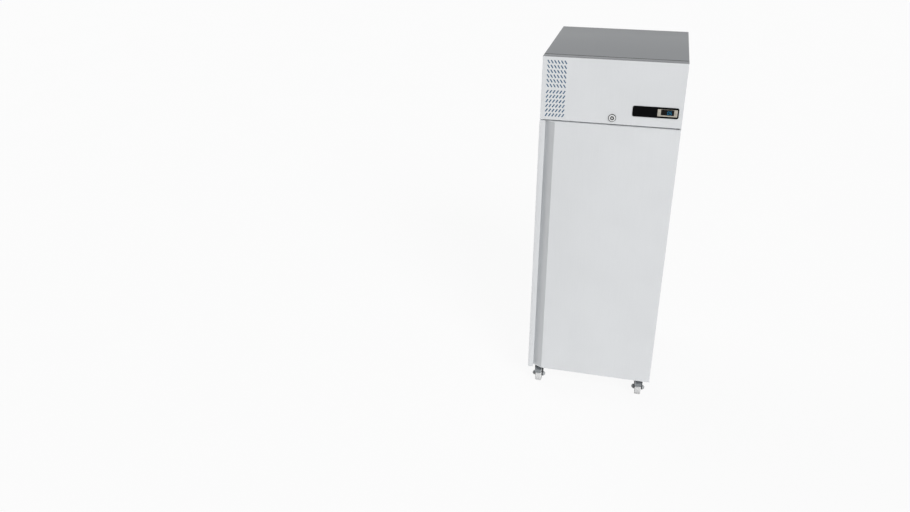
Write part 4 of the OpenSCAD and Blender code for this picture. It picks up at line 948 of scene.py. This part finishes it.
ROD_D = 8 * MM
WIRE_D = 4 * MM
BRACE_D = 6 * MM
WIRE_COUNT = 15
CORNER_OUT = 0.8 * MM
shelves = solids_of("wire_shelves")
span, reach = [size - CORNER_OUT - ROD_D for size in (shelves[0][1] - shelves[0][0])[:2]]
pitch = span / (WIRE_COUNT + 1)
wire_z = (ROD_D - WIRE_D) / 2
brace_z = wire_z - (WIRE_D + BRACE_D) / 2
sizes = {
    "Span": span,
    "Reach": reach,
    "Corner": 14 * MM,
    "Rod radius": ROD_D / 2,
    "Wire radius": WIRE_D / 2,
    "Brace radius": BRACE_D / 2,
    "Wires": WIRE_COUNT,
    "First wire": (pitch - span / 2, 0.0, wire_z),
    "Wire step": (pitch, 0.0, 0.0),
    "Wire front": (0.0, -reach / 2, 0.0),
    "Wire back": (0.0, reach / 2, 0.0),
    "Brace left": (-span / 2, 0.0, brace_z),
    "Brace right": (span / 2, 0.0, brace_z),
}
tree, given = size_tree("wire_shelf", sizes)


def round_bar(curve, radius, sides):
    """Round bar along a curve of the open tree."""
    circle = add(tree, "GeometryNodeCurvePrimitiveCircle", {"Resolution": sides, "Radius": radius})
    return add(
        tree,
        "GeometryNodeCurveToMesh",
        {"Curve": curve, "Profile Curve": circle.outputs["Curve"], "Fill Caps": True},
    ).outputs["Mesh"]


outline = add(
    tree, "GeometryNodeCurvePrimitiveQuadrilateral", {"Width": given["Span"], "Height": given["Reach"]}
)
rounded = add(
    tree,
    "GeometryNodeFilletCurve",
    {"Curve": outline.outputs["Curve"], "Count": 6, "Radius": given["Corner"], "Limit Radius": True},
    mode="POLY",
)
along = add(tree, "GeometryNodeCurvePrimitiveLine", {"Start": given["Wire front"], "End": given["Wire back"]})
across = add(
    tree, "GeometryNodeCurvePrimitiveLine", {"Start": given["Brace left"], "End": given["Brace right"]}
)
row = add(
    tree,
    "GeometryNodeMeshLine",
    {"Count": given["Wires"], "Start Location": given["First wire"], "Offset": given["Wire step"]},
)
wires = add(
    tree,
    "GeometryNodeInstanceOnPoints",
    {"Points": row.outputs["Mesh"], "Instance": round_bar(along.outputs["Curve"], given["Wire radius"], 10)},
)
bars = [
    round_bar(rounded.outputs["Curve"], given["Rod radius"], 14),
    wires.outputs["Instances"],
    round_bar(across.outputs["Curve"], given["Brace radius"], 10),
]
shelf = add(tree, "GeometryNodeJoinGeometry", {"Geometry": bars})
close_tree(tree, given, shelf.outputs["Geometry"])
places = [(low + high) / 2 for low, high in shelves]
shelf_mesh = grown("wire_shelf_set", tree, sizes, chrome_wire, places, degrees=60)
piece("wire_shelf_set", shelf_mesh, chrome_wire, "wire_shelves", ["wire_shelves"])

# Screws: domed heads with a cross recess, in the hinge brackets and the rear grille

HEAD_R = 4.5 * MM
HEAD_H = 2 * MM
HEAD_DOME = 0.7 * MM
CROSS_L = 5.2 * MM
CROSS_W = 1.3 * MM
sizes = {
    "Radius": HEAD_R,
    "Height": HEAD_H,
    "Fall": (0.0, 0.0, -HEAD_DOME / HEAD_R**2),
    "Long slot": (CROSS_L, CROSS_W, HEAD_H),
    "Cross slot": (CROSS_W, CROSS_L, HEAD_H),
    "Slot lift": (0.0, 0.0, HEAD_H / 2),
}
tree, given = size_tree("cross_head_screw", sizes)
disc = add(
    tree,
    "GeometryNodeMeshCylinder",
    {"Vertices": 24, "Fill Segments": 4, "Radius": given["Radius"], "Depth": given["Height"]},
    fill_type="TRIANGLE_FAN",
)
spot = add(tree, "GeometryNodeInputPosition").outputs["Position"]
flat = add(tree, "ShaderNodeVectorMath", {0: spot, 1: (1.0, 1.0, 0.0)}, operation="MULTIPLY").outputs["Vector"]
off_axis = add(tree, "ShaderNodeVectorMath", {0: flat, 1: flat}, operation="DOT_PRODUCT").outputs["Value"]
fall = add(tree, "ShaderNodeVectorMath", {0: given["Fall"], "Scale": off_axis}, operation="SCALE")
domed = add(
    tree,
    "GeometryNodeSetPosition",
    {"Geometry": disc.outputs["Mesh"], "Selection": disc.outputs["Top"], "Offset": fall.outputs["Vector"]},
)
slots = []
for size in ("Long slot", "Cross slot"):
    block = add(tree, "GeometryNodeMeshCube", {"Size": given[size]}).outputs["Mesh"]
    lifted = add(tree, "GeometryNodeTransform", {"Geometry": block, "Translation": given["Slot lift"]})
    slots.append(lifted.outputs["Geometry"])
head = add(
    tree,
    "GeometryNodeMeshBoolean",
    {"Mesh 1": domed.outputs["Geometry"], "Mesh 2": slots},
    operation="DIFFERENCE",
    solver="EXACT",
)
close_tree(tree, given, head.outputs["Mesh"], faces_way(tree))
places, ways = [], []
for low, high in solids_of("panel_screws"):
    mid = (low + high) / 2
    way = -1 if mid.y < 0 else 1
    face = low.y if way < 0 else high.y
    places.append((mid.x, face - way * HEAD_H / 2, mid.z))
    ways.append((0, way, 0))
screw_mesh = grown("cross_head_screws", tree, sizes, zinc_plate, places, ways)
piece("cross_head_screws", screw_mesh, zinc_plate, "panel_screws", ["panel_screws"])

# Castor bolts: chamfered hexagon heads on washers, under the castor plates

BOLT_R = 6.5 * MM
BOLT_H = 5.5 * MM
WASHER_R = 8 * MM
WASHER_T = 1.4 * MM
CONE_H = 1.1 * BOLT_H
CONE_SINK = 0.54 * CONE_H
crown_r = 0.94 * BOLT_R * math.cos(math.pi / 6)
sizes = {
    "Radius": BOLT_R,
    "Height": BOLT_H,
    "Crown": crown_r,
    "Cone base": crown_r + CONE_H * math.tan(math.pi / 3),
    "Cone height": CONE_H,
    "Cone place": (0.0, 0.0, -CONE_SINK),
    "Washer radius": WASHER_R,
    "Washer height": WASHER_T,
    "Washer place": (0.0, 0.0, (WASHER_T - BOLT_H) / 2),
}
tree, given = size_tree("hexagon_bolt", sizes)
prism = add(
    tree, "GeometryNodeMeshCylinder", {"Vertices": 6, "Radius": given["Radius"], "Depth": given["Height"]}
)
cone = add(
    tree,
    "GeometryNodeMeshCone",
    {
        "Vertices": 36,
        "Radius Top": given["Crown"],
        "Radius Bottom": given["Cone base"],
        "Depth": given["Cone height"],
    },
)
lowered = add(
    tree, "GeometryNodeTransform", {"Geometry": cone.outputs["Mesh"], "Translation": given["Cone place"]}
)
chamfered = add(
    tree,
    "GeometryNodeMeshBoolean",
    {"Mesh 2": [prism.outputs["Mesh"], lowered.outputs["Geometry"]]},
    operation="INTERSECT",
    solver="EXACT",
)
washer = add(
    tree,
    "GeometryNodeMeshCylinder",
    {"Vertices": 28, "Radius": given["Washer radius"], "Depth": given["Washer height"]},
)
seated = add(
    tree, "GeometryNodeTransform", {"Geometry": washer.outputs["Mesh"], "Translation": given["Washer place"]}
)
bolt = add(
    tree,
    "GeometryNodeJoinGeometry",
    {"Geometry": [chamfered.outputs["Mesh"], seated.outputs["Geometry"]]},
)
close_tree(tree, given, bolt.outputs["Geometry"], faces_way(tree))
places = []
for low, high in solids_of("castor_bolts"):
    mid = (low + high) / 2
    places.append((mid.x, mid.y, low.z + BOLT_H / 2))
bolt_mesh = grown("hexagon_bolts", tree, sizes, zinc_plate, places, [(0, 0, -1)] * len(places), 30)
piece("hexagon_bolts", bolt_mesh, zinc_plate, "castor_bolts", ["castor_bolts"])


# Stage, light and camera

FLOOR_HALF = 40
floor_mesh = bpy.data.meshes.new("floor")
floor_mesh.from_pydata(
    [(x * FLOOR_HALF, y * FLOOR_HALF, 0) for x, y in ((-1, -1), (1, -1), (1, 1), (-1, 1))],
    [],
    [(0, 1, 2, 3)],
)
floor = bpy.data.objects.new("floor", floor_mesh)
bpy.context.scene.collection.objects.link(floor)
floor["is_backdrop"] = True


def background_light(tree):
    """1 where a surface is seen, also in a reflection or through glass, and 0 where it only lights others."""
    rays = add(tree, "ShaderNodeLightPath").outputs
    direct = add(
        tree, "ShaderNodeMath", {0: rays["Is Camera Ray"], 1: rays["Is Glossy Ray"]}, operation="ADD"
    ).outputs["Value"]
    return add(
        tree, "ShaderNodeMath", {0: direct, 1: rays["Is Transmission Ray"]}, operation="ADD"
    ).outputs["Value"]


# Studio paper: matt with a barely visible mottle, lit from behind so that it looks white with faint shadows
PAPER_GLOW = 0.92
paper, tree, place = start_material("studio_paper")
mottle = add(tree, "ShaderNodeTexNoise", {"Vector": place, "Scale": 1.2, "Detail": 2.0}).outputs["Fac"]
shade = add(tree, "ShaderNodeValToRGB", {"Fac": mottle}, stops=((0.35, "#CACACA"), (0.65, "#CECECE")))
matt = add(tree, "ShaderNodeBsdfPrincipled", {"Base Color": shade.outputs["Color"], "Roughness": 0.9})
glow = add(tree, "ShaderNodeEmission", {"Color": (1, 1, 1, 1), "Strength": 1.0})
amount = add(tree, "ShaderNodeMath", {0: background_light(tree), 1: PAPER_GLOW}, operation="MULTIPLY")
lit = add(
    tree,
    "ShaderNodeMixShader",
    {0: amount.outputs["Value"], 1: matt.outputs["BSDF"], 2: glow.outputs["Emission"]},
)
add(tree, "ShaderNodeOutputMaterial", {"Surface": lit.outputs["Shader"]})
floor_mesh.materials.append(paper)

SKY_LIGHT = 0.35
world = bpy.data.worlds.new("studio")
bpy.context.scene.world = world
world.use_nodes = True
tree = world.node_tree
tree.nodes.clear()
level = add(
    tree,
    "ShaderNodeMapRange",
    {"Value": background_light(tree), "To Min": SKY_LIGHT, "To Max": 1.0},
).outputs["Result"]
sky = add(tree, "ShaderNodeBackground", {"Color": (1, 1, 1, 1), "Strength": level})
add(tree, "ShaderNodeOutputWorld", {"Surface": sky.outputs["Background"]})


def sun(name, strength, softness, azimuth, elevation):
    """Wide soft light from a compass angle, where 0 is in front of the door and 90 is on its right."""
    lamp = bpy.data.lights.new(name, "SUN")
    lamp.energy = strength
    lamp.angle = math.radians(softness)
    made = bpy.data.objects.new(name, lamp)
    bpy.context.scene.collection.objects.link(made)
    a, e = math.radians(azimuth), math.radians(elevation)
    towards = Vector((math.sin(a) * math.cos(e), -math.cos(a) * math.cos(e), math.sin(e)))
    made.rotation_euler = towards.to_track_quat("Z", "Y").to_euler()


sun("key", 2.2, 25, 36, 35)
sun("back", 1.25, 60, 240, 30)

CAMERA_AT = (0.2210, -4.5981, 2.9515)
CAMERA_TILT = 63.79
CAMERA_TURN = 14.11
camera = bpy.data.cameras.new("camera")
camera.sensor_width = 36
camera.lens = 32.14
camera_object = bpy.data.objects.new("camera", camera)
bpy.context.scene.collection.objects.link(camera_object)
camera_object.location = CAMERA_AT
camera_object.rotation_euler = (math.radians(CAMERA_TILT), 0, math.radians(CAMERA_TURN))
bpy.context.scene.camera = camera_object
bpy.context.scene.view_settings.view_transform = "Standard"

low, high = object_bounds()
